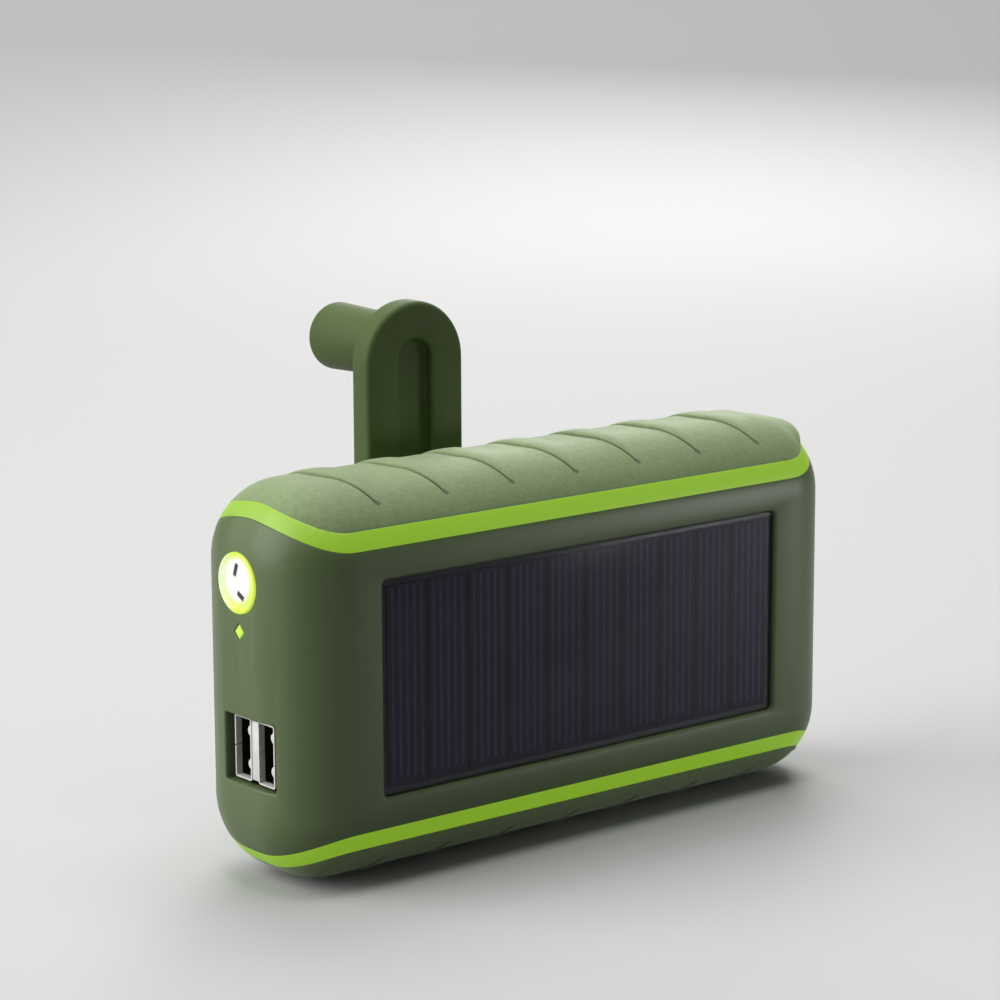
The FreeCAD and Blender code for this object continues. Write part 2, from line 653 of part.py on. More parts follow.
def make_boards():
    """Main board with its larger parts, and the small board behind the button."""
    board_back = "main_board_front + main_board_thick"
    board = block("main_board_blank", ("main_board_start", "main_board_end"),
                  ("main_board_front", board_back), about("mid_height", "2 * main_board_rise"))
    holes, screws = [], []
    for count, (across, rise) in enumerate(STANDOFF_PLACES):
        spot = (across, height(rise))
        holes.append(rod(f"board_hole_{count}", "board_screw_radius", "Y",
                         "main_board_front - past", f"{board_back} + past", spot))
        shank = rod(f"board_shank_{count}", "board_screw_radius", "Y",
                    "main_board_front - board_screw_reach", board_back, spot)
        head = rod(f"board_head_{count}", "board_screw_head", "Y", board_back,
                   f"{board_back} + board_screw_cap", spot)
        screws.append(join(f"board_screw_{count}", shank, head))
    node(cut("main_board", board, *holes), "main_board")
    node(group("board_screws", screws), "board_screws")

    components = [block(name, about(x, long), (board_back, f"{board_back} + {thick}"),
                        about(height(rise), tall))
                  for name, (x, rise, long, tall, thick) in BOARD_PARTS.items()]
    components += [
        rod("capacitor", "capacitor_radius", "Y", board_back, f"{board_back} + capacitor_tall",
            (CAPACITOR_PLACE[0], height(CAPACITOR_PLACE[1]))),
        block("port_riser", ("-body_length / 2 + port_inset + riser_start",
                             "-body_length / 2 + port_inset + port_length"),
              (board_back, "window_side - port_pitch / 2 - port_width / 2"),
              about(height("window_rise"), "port_height")),
    ]
    node(group("board_components", components), "board_components")

    board_front = "switch_board_back + switch_board_thick"
    node(block("switch_board", ("switch_board_back", board_front),
               about("button_side", "switch_board_width"),
               about("mid_height", "switch_board_height")), "switch_board")
    switch = join(
        "power_switch",
        block("switch_case", (board_front, "switch_top"), about("button_side", "2 * switch_side"),
              about(height("button_rise"), "2 * switch_side")),
        rod("switch_stem", "switch_plunger_radius", "X", "switch_top", "switch_plunger",
            ("button_side", height("button_rise"))))
    node(switch, "power_switch")
    socket = cut(
        "socket_shell",
        block("socket_outside", (board_front, "socket_front"), about("0", "socket_width"),
              about(height("socket_rise"), "socket_height")),
        block("socket_inside", ("socket_front - socket_hollow", "socket_front + past"),
              about("0", "socket_width - 2 * socket_wall"),
              about(height("socket_rise"), "socket_height - 2 * socket_wall")))
    socket_tongue = block("socket_tongue",
                          ("socket_front - socket_hollow - socket_tongue_seat",
                           "socket_front - socket_tongue_inset"),
                          about("0", "socket_tongue_width"),
                          about(height("socket_rise + socket_tongue_shift"),
                                "socket_tongue_thick"))
    node(join("micro_usb_socket", socket, socket_tongue), "micro_usb_socket")


def make_button():
    """The power button: a round cap with a flange that keeps it in the case."""
    spot = ("button_side", height("button_rise"))
    top = "body_length / 2 + button_proud"
    cap = rod("button_cap", "button_radius", "X", "button_back", f"{top} - button_crown", spot)
    crown = taper("button_dome", "button_radius", "button_radius - button_crown", "X",
                  f"{top} - button_crown", top, spot)
    flange = rod("button_flange_ring", "button_flange", "X", "button_back",
                 "button_back + button_flange_thick", spot)
    node(join("power_button", cap, crown, flange), "power_button")


def make_battery():
    """A flat lithium pack on its foam pad."""
    body = doc.addObject("PartDesign::Body", "battery_pack")
    plan = sketch_on(body, "XZ_Plane", "battery_plan")
    centred_rectangle(plan, "battery_end - battery_start", "2 * battery_rise")
    pad = feature(body, "Pad", "battery_pad_feature", plan, Length="battery_thick")
    pad.Reversed = True
    rounded(body, "battery_sides", pad,
            lambda box: box.XLength < TINY and box.ZLength < TINY, "battery_corner")
    place(body, "(battery_start + battery_end) / 2", "battery_front", "mid_height")
    node(body, "battery_pack")
    node(block("battery_pad", ("battery_start + pad_margin", "battery_end - pad_margin"),
               ("-body_depth / 2 + panel_recess + tray_thick", "battery_front"),
               about("mid_height", "2 * (battery_rise - pad_margin)")), "battery_pad")


# ---------------------------------------------------------------- gears

def tooth_points(teeth, module):
    """Half a tooth from its root to its tip: three points of the flank and the tip's end.

    The flank is the involute of the base circle, drawn between the base circle or the
    root and the tip, and set back by half the play.
    """
    pitch = module * teeth / 2
    base = pitch * math.cos(PRESSURE_ANGLE)
    tip = pitch + TOOTH_HEIGHT * module
    root = pitch - TOOTH_DEPTH * module
    involute_at_pitch = math.tan(PRESSURE_ANGLE) - PRESSURE_ANGLE
    half_width = math.pi / (2 * teeth) - TOOTH_PLAY * module / (2 * pitch)

    def half_angle(radius):
        turn = math.acos(min(1.0, base / radius))
        return half_width + involute_at_pitch - (math.tan(turn) - turn)
    start = max(base * FLANK_START, root)
    radii = (start, (start + tip) / 2, tip)
    return root, [(radius, half_angle(radius)) for radius in radii]


def gear_face(teeth, module):
    """The flat outline of a spur gear about the Y axis, with a tooth towards +X."""
    def spot(radius, angle):
        return Vector(radius * math.cos(angle), 0, radius * math.sin(angle))
    root, flank = tooth_points(teeth, module)
    step = 2 * math.pi / teeth
    edges = []
    for count in range(teeth):
        middle = count * step
        rise = [spot(radius, middle - half) for radius, half in flank]
        fall = [spot(radius, middle + half) for radius, half in reversed(flank)]
        tip = spot(flank[-1][0], middle)
        foot = spot(root, middle - flank[0][1])
        last_foot = spot(root, middle + flank[0][1])
        next_foot = spot(root, middle + step - flank[0][1])
        valley = spot(root, middle + step / 2)
        if flank[0][0] > root + TINY:
            edges.append(Part.LineSegment(foot, rise[0]))
        edges.append(Part.Arc(*rise))
        edges.append(Part.Arc(rise[2], tip, fall[0]))
        edges.append(Part.Arc(*fall))
        if flank[0][0] > root + TINY:
            edges.append(Part.LineSegment(fall[2], last_foot))
        edges.append(Part.Arc(last_foot, valley, next_foot))
    wire = Part.Wire([edge.toShape() for edge in edges])
    return Part.Face(wire)


def gear(name, teeth, phase, low, high, across):
    """A spur gear from `low` to `high` along Y, with a tooth at the angle `phase`."""
    face = doc.addObject("Part::Feature", name + "_face")
    face.Shape = gear_face(teeth, sheet.get("gear_module"))
    wheel = doc.addObject("Part::Extrusion", name)
    wheel.Base = face
    wheel.DirMode = "Custom"
    wheel.Dir = Vector(0, 1, 0)
    wheel.Solid = True
    bind(wheel, LengthFwd=f"({high}) - ({low})")
    wheel.Placement.Rotation = Rotation(Vector(0, 1, 0), -math.degrees(phase))
    return place(wheel, across[0], low, across[1])


def train_layout():
    """Axis of each gear in the train, and the phase at which each meshes at rest."""
    spots = [(sheet.get("hub_across"), sheet.get("hub_rise"))]
    pairs = ((DRIVE_TEETH, PINION_TEETH), (WHEEL_TEETH, PINION_TEETH), (WHEEL_TEETH, PINION_TEETH))
    phases = []
    for (driver, driven), angle in zip(pairs, TRAIN_ANGLES):
        reach = sheet.get("gear_module") * (driver + driven) / 2
        turn = math.radians(angle)
        x, z = spots[-1]
        spots.append((x + reach * math.cos(turn), z + reach * math.sin(turn)))
        phases.append((turn, turn + math.pi + math.pi / driven))
    return spots, phases


def make_gear_train():
    """Crank shaft and drive gear, two compound idlers, and the generator's pinion."""
    spots, phases = train_layout()
    places = [(str(x), height(z)) for x, z in spots]
    hub, first, second, last = places
    shaft_hole = rod("drive_bore", "shaft_radius", "Y", "drive_front - past",
                     "drive_back + past", hub)
    drive = gear("drive_gear_teeth", DRIVE_TEETH, phases[0][0], "drive_front", "drive_back", hub)
    node(cut("drive_gear", drive, shaft_hole), "drive_gear")

    levels = (("idler_gear_one", first, "drive", phases[0][1], "middle", phases[1][0]),
              ("idler_gear_two", second, "middle", phases[1][1], "last", phases[2][0]))
    for name, spot, upper, pinion_phase, lower, wheel_phase in levels:
        pinion = gear(name + "_pinion", PINION_TEETH, pinion_phase, f"{lower}_back",
                      f"{upper}_back", spot)
        wheel = gear(name + "_wheel", WHEEL_TEETH, wheel_phase, f"{lower}_front",
                     f"{lower}_back", spot)
        bore = rod(name + "_bore", "axle_radius + running_gap", "Y", "last_front - past",
                   "drive_back + past", spot)
        node(cut(name, join(name + "_blank", pinion, wheel), bore), name)
    axles = [rod(f"axle_{count}", "axle_radius", "Y", "front_plate_front", "rear_plate_back", spot)
             for count, spot in enumerate((first, second))]
    node(group("gear_axles", axles), "gear_axles")

    pinion = gear("generator_pinion_teeth", PINION_TEETH, phases[2][1], "last_front",
                  "last_back", last)
    pinion_bore = rod("generator_pinion_bore", "rotor_shaft_radius", "Y",
                      "last_front - past", "last_back + past", last)
    node(cut("generator_pinion", pinion, pinion_bore), "generator_pinion")
    return hub, first, second, last


def make_generator(spot):
    """A small generator: its can, the winding in it and the magnet rotor."""
    can = cut("generator_can",
              rod("can_outside", "can_radius", "Y", "bracket_back", "can_back", spot),
              rod("can_inside", "can_radius - can_wall", "Y", "bracket_back + can_wall",
                  "can_back - can_wall", spot),
              rod("can_bearings", "rotor_shaft_radius + running_gap", "Y", "0", "body_depth",
                  spot))
    node(can, "generator_can")
    node(ring("generator_winding", "winding_outer", "winding_inner", "Y",
              "bracket_back + winding_gap", "can_back - winding_gap", spot),
         "generator_winding")
    rotor = join("generator_rotor",
                 rod("rotor_magnet", "magnet_radius", "Y", "bracket_back + magnet_gap",
                     "can_back - magnet_gap", spot),
                 rod("rotor_shaft", "rotor_shaft_radius", "Y", "last_front",
                     "can_back + rotor_shaft_reach", spot))
    node(rotor, "generator_rotor")


def make_gearbox(hub, first, second, last):
    """Two plates held apart by spacers, the generator's bracket and the long screws."""
    front = ("front_plate_front", "front_plate_back")
    rear = ("rear_plate_front", "rear_plate_back")

    def through(name, radius, plate, spot):
        return rod(name, radius, "Y", f"{plate[0]} - past", f"{plate[1]} + past", spot)
    notch = "pocket_radius + well_wall + notch_gap"
    front_holes = [through("front_shaft_hole", "shaft_radius + running_gap", front, hub),
                   through("front_notch", notch, front, knob_pocket_place())]
    rear_holes = [through("rear_bush_hole", "bush_radius", rear, hub),
                  through("rear_notch", notch, rear, knob_pocket_place())]
    spacers, screws = [], []
    for count, (across, rise) in enumerate(SPACER_PLACES):
        spot = (across, height(rise))
        front_holes.append(through(f"front_screw_hole_{count}", "screw_radius", front, spot))
        rear_holes.append(through(f"rear_screw_hole_{count}", "screw_radius", rear, spot))
        spacers.append(ring(f"spacer_{count}", "spacer_radius", "screw_radius", "Y",
                            front[1], rear[0], spot))
        shank = rod(f"gearbox_shank_{count}", "screw_radius", "Y", front[0],
                    "rear_plate_back + screw_reach", spot)
        head = rod(f"gearbox_head_{count}", "screw_head_radius", "Y",
                   "front_plate_front - screw_head", front[0], spot)
        screws.append(join(f"gearbox_screw_{count}", shank, head))
    for count, spot in enumerate((first, second)):
        front_holes.append(through(f"front_axle_hole_{count}", "axle_radius", front, spot))
        rear_holes.append(through(f"rear_axle_hole_{count}", "axle_radius", rear, spot))
    rise = (height("plate_low"), height("plate_high"))
    node(cut("gearbox_front_plate",
             block("front_plate_blank", ("plate_start", "plate_end"), front, rise),
             *front_holes), "gearbox_front_plate")
    node(cut("gearbox_rear_plate",
             block("rear_plate_blank", ("plate_start", "rear_plate_end"), rear, rise),
             *rear_holes), "gearbox_rear_plate")
    node(group("gearbox_spacers", spacers), "gearbox_spacers")
    node(group("gearbox_screws", screws), "gearbox_screws")
    node(cut("hub_bush",
             join("bush_blank",
                  rod("bush_sleeve", "bush_radius", "Y", "rear_plate_front", "well_floor", hub),
                  rod("bush_rim", "bush_radius + bush_flange", "Y",
                      "rear_plate_front - bush_flange_thick", "rear_plate_front", hub)),
             rod("bush_bore", "shaft_radius + running_gap", "Y",
                 "rear_plate_front - bush_flange_thick - past", "body_depth", hub)),
         "hub_bush")
    posts = [rod(f"bracket_post_{count}", "bracket_post", "Y", front[1], "bracket_front",
                 (across, height(rise)))
             for count, (across, rise) in enumerate(BRACKET_PLACES)]
    bracket = ("bracket_front", "bracket_back")
    plate = block("bracket_plate", ("bracket_start", "plate_end"), bracket,
                  (height("bracket_low"), height("bracket_high")))
    node(cut("generator_bracket", join("bracket_blank", plate, *posts),
             through("bracket_middle_hole", "bracket_hole", bracket, last)),
         "generator_bracket")


# ---------------------------------------------------------------- crank

def make_crank_hub(hub):
    """The turning disc in the well, with two lugs that hold the arm's hinge pin."""
    pin_rise = height("hub_rise + pin_reach")
    disc = rod("hub_disc", "hub_radius", "Y", "hub_bottom", "hub_top", hub)
    pieces = [disc]
    for side, (low, high) in (("left", ("-lug_outer", "-lug_inner")),
                              ("right", ("lug_inner", "lug_outer"))):
        span = (f"hub_across + ({low})", f"hub_across + ({high})")
        pieces.append(block(f"lug_{side}", span, ("hub_bottom", "pin_depth"),
                            about(pin_rise, "2 * lug_radius")))
        pieces.append(rod(f"lug_{side}_eye", "lug_radius", "X", *span, ("pin_depth", pin_rise)))
    pin_hole = rod("lug_hole", "pin_radius", "X", "hub_across - lug_outer - past",
                   "hub_across + lug_outer + past", ("pin_depth", pin_rise))
    shaft_hole = rod("hub_shaft_hole", "shaft_radius", "Y", "hub_bottom - past",
                     "hub_bottom + shaft_seat", hub)
    node(cut("crank_hub", join("crank_hub_blank", *pieces), pin_hole, shaft_hole), "crank_hub")
    node(rod("crank_shaft", "shaft_radius", "Y", "front_plate_front",
             "hub_bottom + shaft_seat", hub), "crank_shaft")
    node(rod("hinge_pin", "pin_radius", "X", "hub_across - lug_outer", "hub_across + lug_outer",
             ("pin_depth", pin_rise)), "hinge_pin")


def make_crank_arm():
    """The arm, unfolded: a round-ended bar with a groove, a hinge root and the knob's post."""
    body = doc.addObject("PartDesign::Body", "arm_bar")
    plan = sketch_on(body, "XZ_Plane", "arm_plan")
    half, low, high = 12.0, 4.0, 37.0
    left = plan.addGeometry(Part.LineSegment(Vector(-half, high, 0), Vector(-half, low, 0)), False)
    foot = plan.addGeometry(Part.LineSegment(Vector(-half, low, 0), Vector(half, low, 0)), False)
    right = plan.addGeometry(Part.LineSegment(Vector(half, low, 0), Vector(half, high, 0)), False)
    end = plan.addGeometry(Part.ArcOfCircle(
        Part.Circle(Vector(0, high, 0), Vector(0, 0, 1), half), 0, math.pi), False)
    for rule in (("Coincident", left, 2, foot, 1), ("Coincident", foot, 2, right, 1),
                 ("Tangent", right, 2, end, 1), ("Tangent", end, 2, left, 1),
                 ("Vertical", left), ("Vertical", right), ("Horizontal", foot),
                 ("PointOnObject", end, 3, -2)):
        plan.addConstraint(Sketcher.Constraint(*rule))
    measure(plan, "Radius", (end,), "arm_half", half)
    measure(plan, "DistanceY", (-1, 1, end, 3), "arm_end_rise - hub_rise - pin_reach", high)
    measure(plan, "DistanceY", (-1, 1, foot, 1), "arm_root_gap", low)
    bar = feature(body, "Pad", "arm_bar_pad", plan, Length="arm_thick")
    bar.Reversed = True
    rounded(body, "arm_bar_edges", bar, lambda box: box.YLength < TINY, "arm_edge")
    place(body, "hub_across", "arm_front", height("hub_rise + pin_reach"))

    pin_spot = ("pin_depth", height("hub_rise + pin_reach"))
    root_span = about("hub_across", "2 * root_half")
    root = block("arm_root", root_span, ("arm_front", "arm_front + arm_thick"),
                 (height("hub_rise + pin_reach - root_below"),
                  height("hub_rise + pin_reach + arm_root_gap + root_above")))
    barrel = rod("arm_barrel", "root_radius", "X", *root_span, pin_spot)
    post = rod("knob_post", "post_radius", "Y", "arm_front + arm_thick - past", "post_end",
               ("hub_across", height("knob_rise")))
    groove_top = height("groove_end_rise")
    groove_low = height("hub_rise + pin_reach + arm_root_gap + groove_start")
    groove_back = "arm_front + groove_depth"
    groove = [
        block("groove_lane", about("hub_across", "2 * groove_half"), ("arm_front - past", groove_back),
              (groove_low, groove_top)),
        rod("groove_end", "groove_half", "Y", "arm_front - past", groove_back,
            ("hub_across", groove_top)),
        rod("groove_foot", "groove_half", "Y", "arm_front - past", groove_back,
            ("hub_across", groove_low)),
    ]
    pin_hole = rod("arm_pin_hole", "pin_radius + running_gap", "X",
                   "hub_across - root_half - past", "hub_across + root_half + past", pin_spot)
    screw_hole = rod("post_screw_hole", "screw_radius", "Y", "post_end - post_hole",
                     "post_end + past", ("hub_across", height("knob_rise")))
    node(cut("crank_arm", join("arm_blank", body, root, barrel, post), *groove, pin_hole,
             screw_hole), "crank_arm")


def make_knob():
    """The turning knob, its retaining screw and the cap that hides the screw."""
    body = doc.addObject("PartDesign::Body", "knob")
    profile = sketch_on(body, "XY_Plane", "knob_profile")
    lines = outline(profile, ((3, 27), (6, 27), (8, 48), (5, 48), (5, 45), (3, 45)))
    bore, flank, top, recess, seat, wall = lines
    measure(profile, "DistanceX", (-1, 1, bore, 1), "post_radius + running_gap")
    measure(profile, "DistanceX", (-1, 1, flank, 1), "knob_root_radius")
    measure(profile, "DistanceX", (-1, 1, top, 1), "knob_tip_radius")
    measure(profile, "DistanceX", (-1, 1, recess, 1), "knob_cap_radius")
    measure(profile, "DistanceY", (-1, 1, bore, 1), "knob_start")
    measure(profile, "DistanceY", (-1, 1, top, 1), "knob_end")
    measure(profile, "DistanceY", (-1, 1, seat, 1), "knob_seat")
    revolve = feature(body, "Revolution", "knob_revolve", profile)
    revolve.ReferenceAxis = (profile, ["V_Axis"])
    revolve.Angle = 360
    tip = sheet.get("knob_end")
    wide = 2 * sheet.get("knob_root_radius")
    rounded(body, "knob_tip", revolve,
            lambda box: abs(box.YMin - tip) < TINY and box.YLength < TINY and box.XLength > wide,
            "knob_rounding")
    node(place(body, "hub_across", "0", height("knob_rise")), "knob")
    spot = ("hub_across", height("knob_rise"))
    node(join("knob_screw",
              rod("knob_screw_shank", "screw_radius", "Y", "post_end - knob_screw_reach",
                  "knob_seat + seat_gap", spot),
              rod("knob_screw_cap", "knob_screw_head", "Y", "knob_seat + seat_gap",
                  "knob_cap_start - cap_gap", spot)), "knob_screw")
    node(rod("knob_cap", "knob_cap_radius", "Y", "knob_cap_start", "knob_end", spot), "knob_cap")


def make_case_screws():
    """The four screws that close the case from the back."""
    screws = []
    for count, spot in enumerate(case_corner_places()):
        seat = "body_depth / 2 - case_screw_sink"
        shank = rod(f"case_shank_{count}", "case_screw_radius", "Y", "case_screw_start", seat,
                    spot)
        head = rod(f"case_head_{count}", "case_screw_head_radius", "Y", seat,
                   f"{seat} + case_screw_head", spot)
        screws.append(join(f"case_screw_{count}", shank, head))
    node(group("case_screws", screws), "case_screws")


make_front_case()
make_back_cover()
make_grips_and_bands()
make_solar_panel()
make_torch()
make_ports()
make_boards()
make_button()
make_battery()
train_places = make_gear_train()
make_generator(train_places[-1])
make_gearbox(*train_places)
make_crank_hub(train_places[0])
make_crank_arm()
make_knob()
make_case_screws()
doc.recompute()

for item in doc.Objects:
    if "Invalid" in item.State or "Error" in item.State:
        raise RuntimeError(f"{item.Name} failed: {item.State}")
os.makedirs("parts", exist_ok=True)
for item in nodes:
    shape = item.Shape
    if shape.isNull() or not shape.isValid() or not shape.Solids:
        raise RuntimeError(f"{item.Label} has no valid solid")
    shape.exportStep(f"parts/{item.Label}.step")
print(len(nodes), "sub-parts written")
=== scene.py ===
import json
import math

import bmesh
import bpy
from bpy.props import FloatProperty, FloatVectorProperty, PointerProperty
from mathutils import Matrix, Vector


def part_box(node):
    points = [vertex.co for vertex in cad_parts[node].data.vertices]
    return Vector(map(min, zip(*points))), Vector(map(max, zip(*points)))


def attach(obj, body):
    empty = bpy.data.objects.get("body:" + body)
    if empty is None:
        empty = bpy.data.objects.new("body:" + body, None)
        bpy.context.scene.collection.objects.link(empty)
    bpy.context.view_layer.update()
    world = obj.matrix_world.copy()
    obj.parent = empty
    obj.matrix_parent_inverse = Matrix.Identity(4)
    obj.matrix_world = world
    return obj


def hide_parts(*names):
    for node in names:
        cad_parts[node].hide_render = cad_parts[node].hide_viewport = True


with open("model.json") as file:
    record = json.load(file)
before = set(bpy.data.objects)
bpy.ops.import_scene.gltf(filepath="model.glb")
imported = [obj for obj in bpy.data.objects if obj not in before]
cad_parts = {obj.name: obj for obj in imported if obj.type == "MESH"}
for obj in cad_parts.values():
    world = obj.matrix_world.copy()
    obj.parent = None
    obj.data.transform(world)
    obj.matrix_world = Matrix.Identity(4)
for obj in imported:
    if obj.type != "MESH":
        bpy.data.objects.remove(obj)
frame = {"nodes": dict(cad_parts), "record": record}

bl_info = {
    "name": "Hand Crank Power Bank",
    "version": (1, 0, 0),
    "blender": (4, 5, 0),
    "location": "View3D > Sidebar > Power Bank",
    "description": "Dresses a hand crank power bank with its skins, ports, crank and finishes",
    "category": "Add Mesh",
}

MM = 0.001
TINY = 1e-6
FULL_ROUND = 0.9995     # Share of half a width that a round end takes, so its arcs don't meet
RIB_NUMBERS = range(-3, 4)
CELL_COUNT = 10
FINGER_COUNT = 5
FINGER_STEP = 0.176     # Distance from finger to finger, as a share of a cell's width
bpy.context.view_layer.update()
AXES = {"X": Vector((1, 0, 0)), "Y": Vector((0, 1, 0)), "Z": Vector((0, 0, 1))}


def span(node, axis):
    """The lowest and the highest place of a fixed part along an axis."""
    low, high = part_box(node)
    count = "XYZ".index(axis)
    return low[count], high[count]


def half_span(node, axis):
    """Half the length of a fixed part along an axis."""
    low, high = span(node, axis)
    return (high - low) / 2


def centre(node):
    """The middle of a fixed part's box."""
    low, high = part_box(node)
    return (low + high) / 2


CASE_START, CASE_END = span("front_case", "X")
CASE_FRONT, SEAM = span("front_case", "Y")
MIDDLE = centre("front_case").z
GRIP_TOP = span("top_grip", "Z")[1]
HALF_HEIGHT = GRIP_TOP - MIDDLE
ARCH_ROWS = [count * 1.25 * MM for count in range(-15, 16)]
# Rows of the mesh over a rib, in millimetres from its leading edge.
RIB_ROWS = (-0.8, -0.6, -0.42, -0.26, -0.13, 0.0, 0.13, 0.26, 0.4, 0.56, 0.75, 1.1, 1.6, 2.4,
            3.6, 5.2, 7.0, 9.0, 11.0, 13.0, 15.0)

# Fixed sizes, which have to fit the solids inside and beside the pieces. Depths are from the
# case's middle plane, and ARM_FOOT is from the hinge pin up.
OUTSIDE = 3 * MM
END_REACH = 9 * MM
ARM_FRONT, ARM_BACK = 20.6 * MM, 26.6 * MM
ARM_FOOT = 4.0 * MM
PIN_RADIUS = 1.25 * MM
PIN_HOLE = 1.3 * MM
HUB_RADIUS = 14.2 * MM
HUB_BACK, HUB_FACE = 11.0 * MM, 13.4 * MM
LUG_ROOT = 11.5 * MM
LUG_HALF = 2.8 * MM
LUG_SPANS = ((-9.0 * MM, -5.0 * MM), (5.0 * MM, 9.0 * MM))
CAP_DEPTH = 3.5 * MM
LINER_WALL = 1.6 * MM
SCREW_HEAD = 2.4 * MM
SCREW_HEAD_HEIGHT = 1.8 * MM
SCREW_SHANK = 1.3 * MM
SCREW_SINK = 2.7 * MM
CROSS_LENGTH, CROSS_WIDTH, CROSS_DEPTH = 1.3 * MM, 0.3 * MM, 1.0 * MM
BUTTON_RADIUS = 4.2 * MM
BUTTON_FLANGE, FLANGE_HEIGHT = 5.4 * MM, 1.1 * MM
SHELL_WIDTH = 5.7 * MM
TAB_RADIUS = 1.2 * MM
TAB_HEIGHTS = (0.2, 0.73)
TONGUE_SETBACK = 1.2 * MM
TONGUE_BASE = 3 * MM


# ---------------------------------------------------------------- sizes and colours

def length(name, description, millimetres):
    """A length that a user may change, given here in millimetres."""
    return FloatProperty(name=name, description=description, default=millimetres * MM,
                         unit="LENGTH", precision=5)


def colour(name, description, shade):
    """A colour that a user may change."""
    return FloatVectorProperty(name=name, description=description, default=shade,
                               subtype="COLOR", size=3, min=0.0, max=1.0)


class CaseSizes(bpy.types.PropertyGroup):
    """Sizes of the case, its grips and its accent bands."""
    section_corner: length("Section corner", "Radius of the four long edges", 16.5)
    end_rounding: length("End rounding", "Radius of the edges round both ends", 15.0)
    arch_radius: length("Arch radius", "Radius of the arched borders, seen along the case", 36.3)
    arch_drop: length("Arch drop", "How far the arches sit inside the middle", 1.7)
    band_height: length("Band height", "Height of an accent band", 2.8)
    grip_thick: length("Grip thickness", "Thickness of the rubber grips and of the bands", 1.8)
    wall: length("Wall", "Thickness of the case's walls", 2.4)
    front_wall: length("Front wall", "Thickness of the wall that holds the solar panel", 4.6)
    edge_softness: length("Edge softness", "Rounding of moulded edges", 0.3)
    rib_pitch: length("Rib pitch", "Distance from rib to rib", 17.4)
    rib_middle: length("Middle rib", "Place of the middle rib's front end", 1.0)
    rib_height: length("Rib height", "Height of a rib over the grip", 0.8)
    rib_corner: length("Rib corner", "Radius of a rib's section", 17.5)
    rib_width: length("Rib width", "Width of a rib's section", 39.44)
    rib_step: length("Rib step", "Length of the roll up a rib's leading edge", 2.0)
    crease: length("Crease", "Width of the crease at the foot of a rib", 0.4)
    rib_slope: FloatProperty(name="Rib slope", description="Angle of a rib's gentle fall",
                             default=math.radians(8.0), unit="ROTATION")
    rib_edge_radius: length("Rib edge radius", "Radius of a rib's curved leading edge", 70.0)
    rib_edge_shift: length("Rib edge shift", "Centre of that curve, along the case", 64.75)
    rib_edge_back: length("Rib edge back", "Centre of that curve, across the case", 13.0)
    panel_corner: length("Panel corner", "Corner radius of the solar panel's recess", 1.3)
    panel_rim: length("Panel rim", "Rounding round the solar panel's recess", 0.8)
    panel_gap: length("Panel gap", "Gap round the solar panel", 0.2)


class CrankSizes(bpy.types.PropertyGroup):
    """Sizes of the crank's arm, knob and recess."""
    arm_edge: length("Arm edge", "Rounding of the arm's edges", 1.3)
    groove_half: length("Groove half width", "Half the width of the arm's groove", 4.3)
    groove_depth: length("Groove depth", "Depth of the arm's groove", 2.2)
    groove_end: length("Groove end", "From the arm's tip to the centre of the groove's end", 12.4)
    groove_start: length("Groove start", "From the arm's foot to the groove's lower centre", 7.0)
    groove_edge: length("Groove edge", "Rounding along the groove", 0.8)
    root_half: length("Root half width", "Half the width of the arm's hinge root", 4.7)
    root_radius: length("Root radius", "Radius of the arm's hinge barrel", 2.7)
    post_radius: length("Post radius", "Radius of the post that the knob turns on", 3.0)
    knob_root: length("Knob root", "Radius of the knob beside the arm", 6.7)
    knob_tip: length("Knob tip", "Radius of the knob near its end", 7.5)
    knob_rounding: length("Knob rounding", "Rounding of the knob's end", 2.6)
    slot_gap: length("Slot gap", "Gap beside the stowed arm", 0.3)
    dish_radius: length("Dish radius", "Radius of the dish round the hub", 14.6)
    pocket_radius: length("Pocket radius", "Radius of the stowed knob's pocket", 7.9)
    pocket_floor: length("Pocket floor", "Depth of the pocket's floor, from the middle", -10.7)
    well_floor: length("Well floor", "Depth of the hub well's floor, from the middle", 10.7)
    dish_floor: length("Dish floor", "Depth of the arm recess's floor, from the middle", 13.6)


class EndSizes(bpy.types.PropertyGroup):
    """Sizes of the torch, the ports and the controls at the two ends."""
    window_low: length("Window low", "Lower edge of the port window, from the middle", -20.0)
    window_high: length("Window high", "Upper edge of the port window, from the middle", -5.9)
    window_left: length("Window left", "Edge of the port window near the solar face", -10.2)
    window_right: length("Window right", "Edge of the port window near the crank", 5.9)
    shell_wall: length("Shell wall", "Sheet thickness of a port's shell", 0.35)
    bezel_bore: length("Bezel bore", "Radius of the torch's clear opening", 5.2)
    button_hole: length("Button hole", "Radius of the hole round the button", 4.5)
    socket_gap: length("Socket gap", "Gap round the charging inlet", 0.7)
    lip: length("Lip", "Rounding round the openings of the ends", 0.45)


class Finishes(bpy.types.PropertyGroup):
    """Colours of the outer pieces."""
    case: colour("Case", "Satin moulded case", (0.1, 0.143, 0.056))
    grip: colour("Grip", "Grained rubber grips", (0.178, 0.244, 0.1))
    crank: colour("Crank", "Arm, knob and hub", (0.074, 0.109, 0.034))
    band: colour("Band", "Accent bands and clear lime parts", (0.18, 0.27, 0.05))
    glow: colour("Glow", "Light that the fluorescent accent gives back", (0.15, 0.3, 0.004))
    cells: colour("Cells", "Silicon of the solar cells", (0.0165, 0.0135, 0.038))
    fingers: colour("Fingers", "Fine lines on the cells", (0.085, 0.078, 0.14))
    floor: colour("Floor", "Floor and backdrop", (0.52, 0.52, 0.515))


# ---------------------------------------------------------------- shader maths

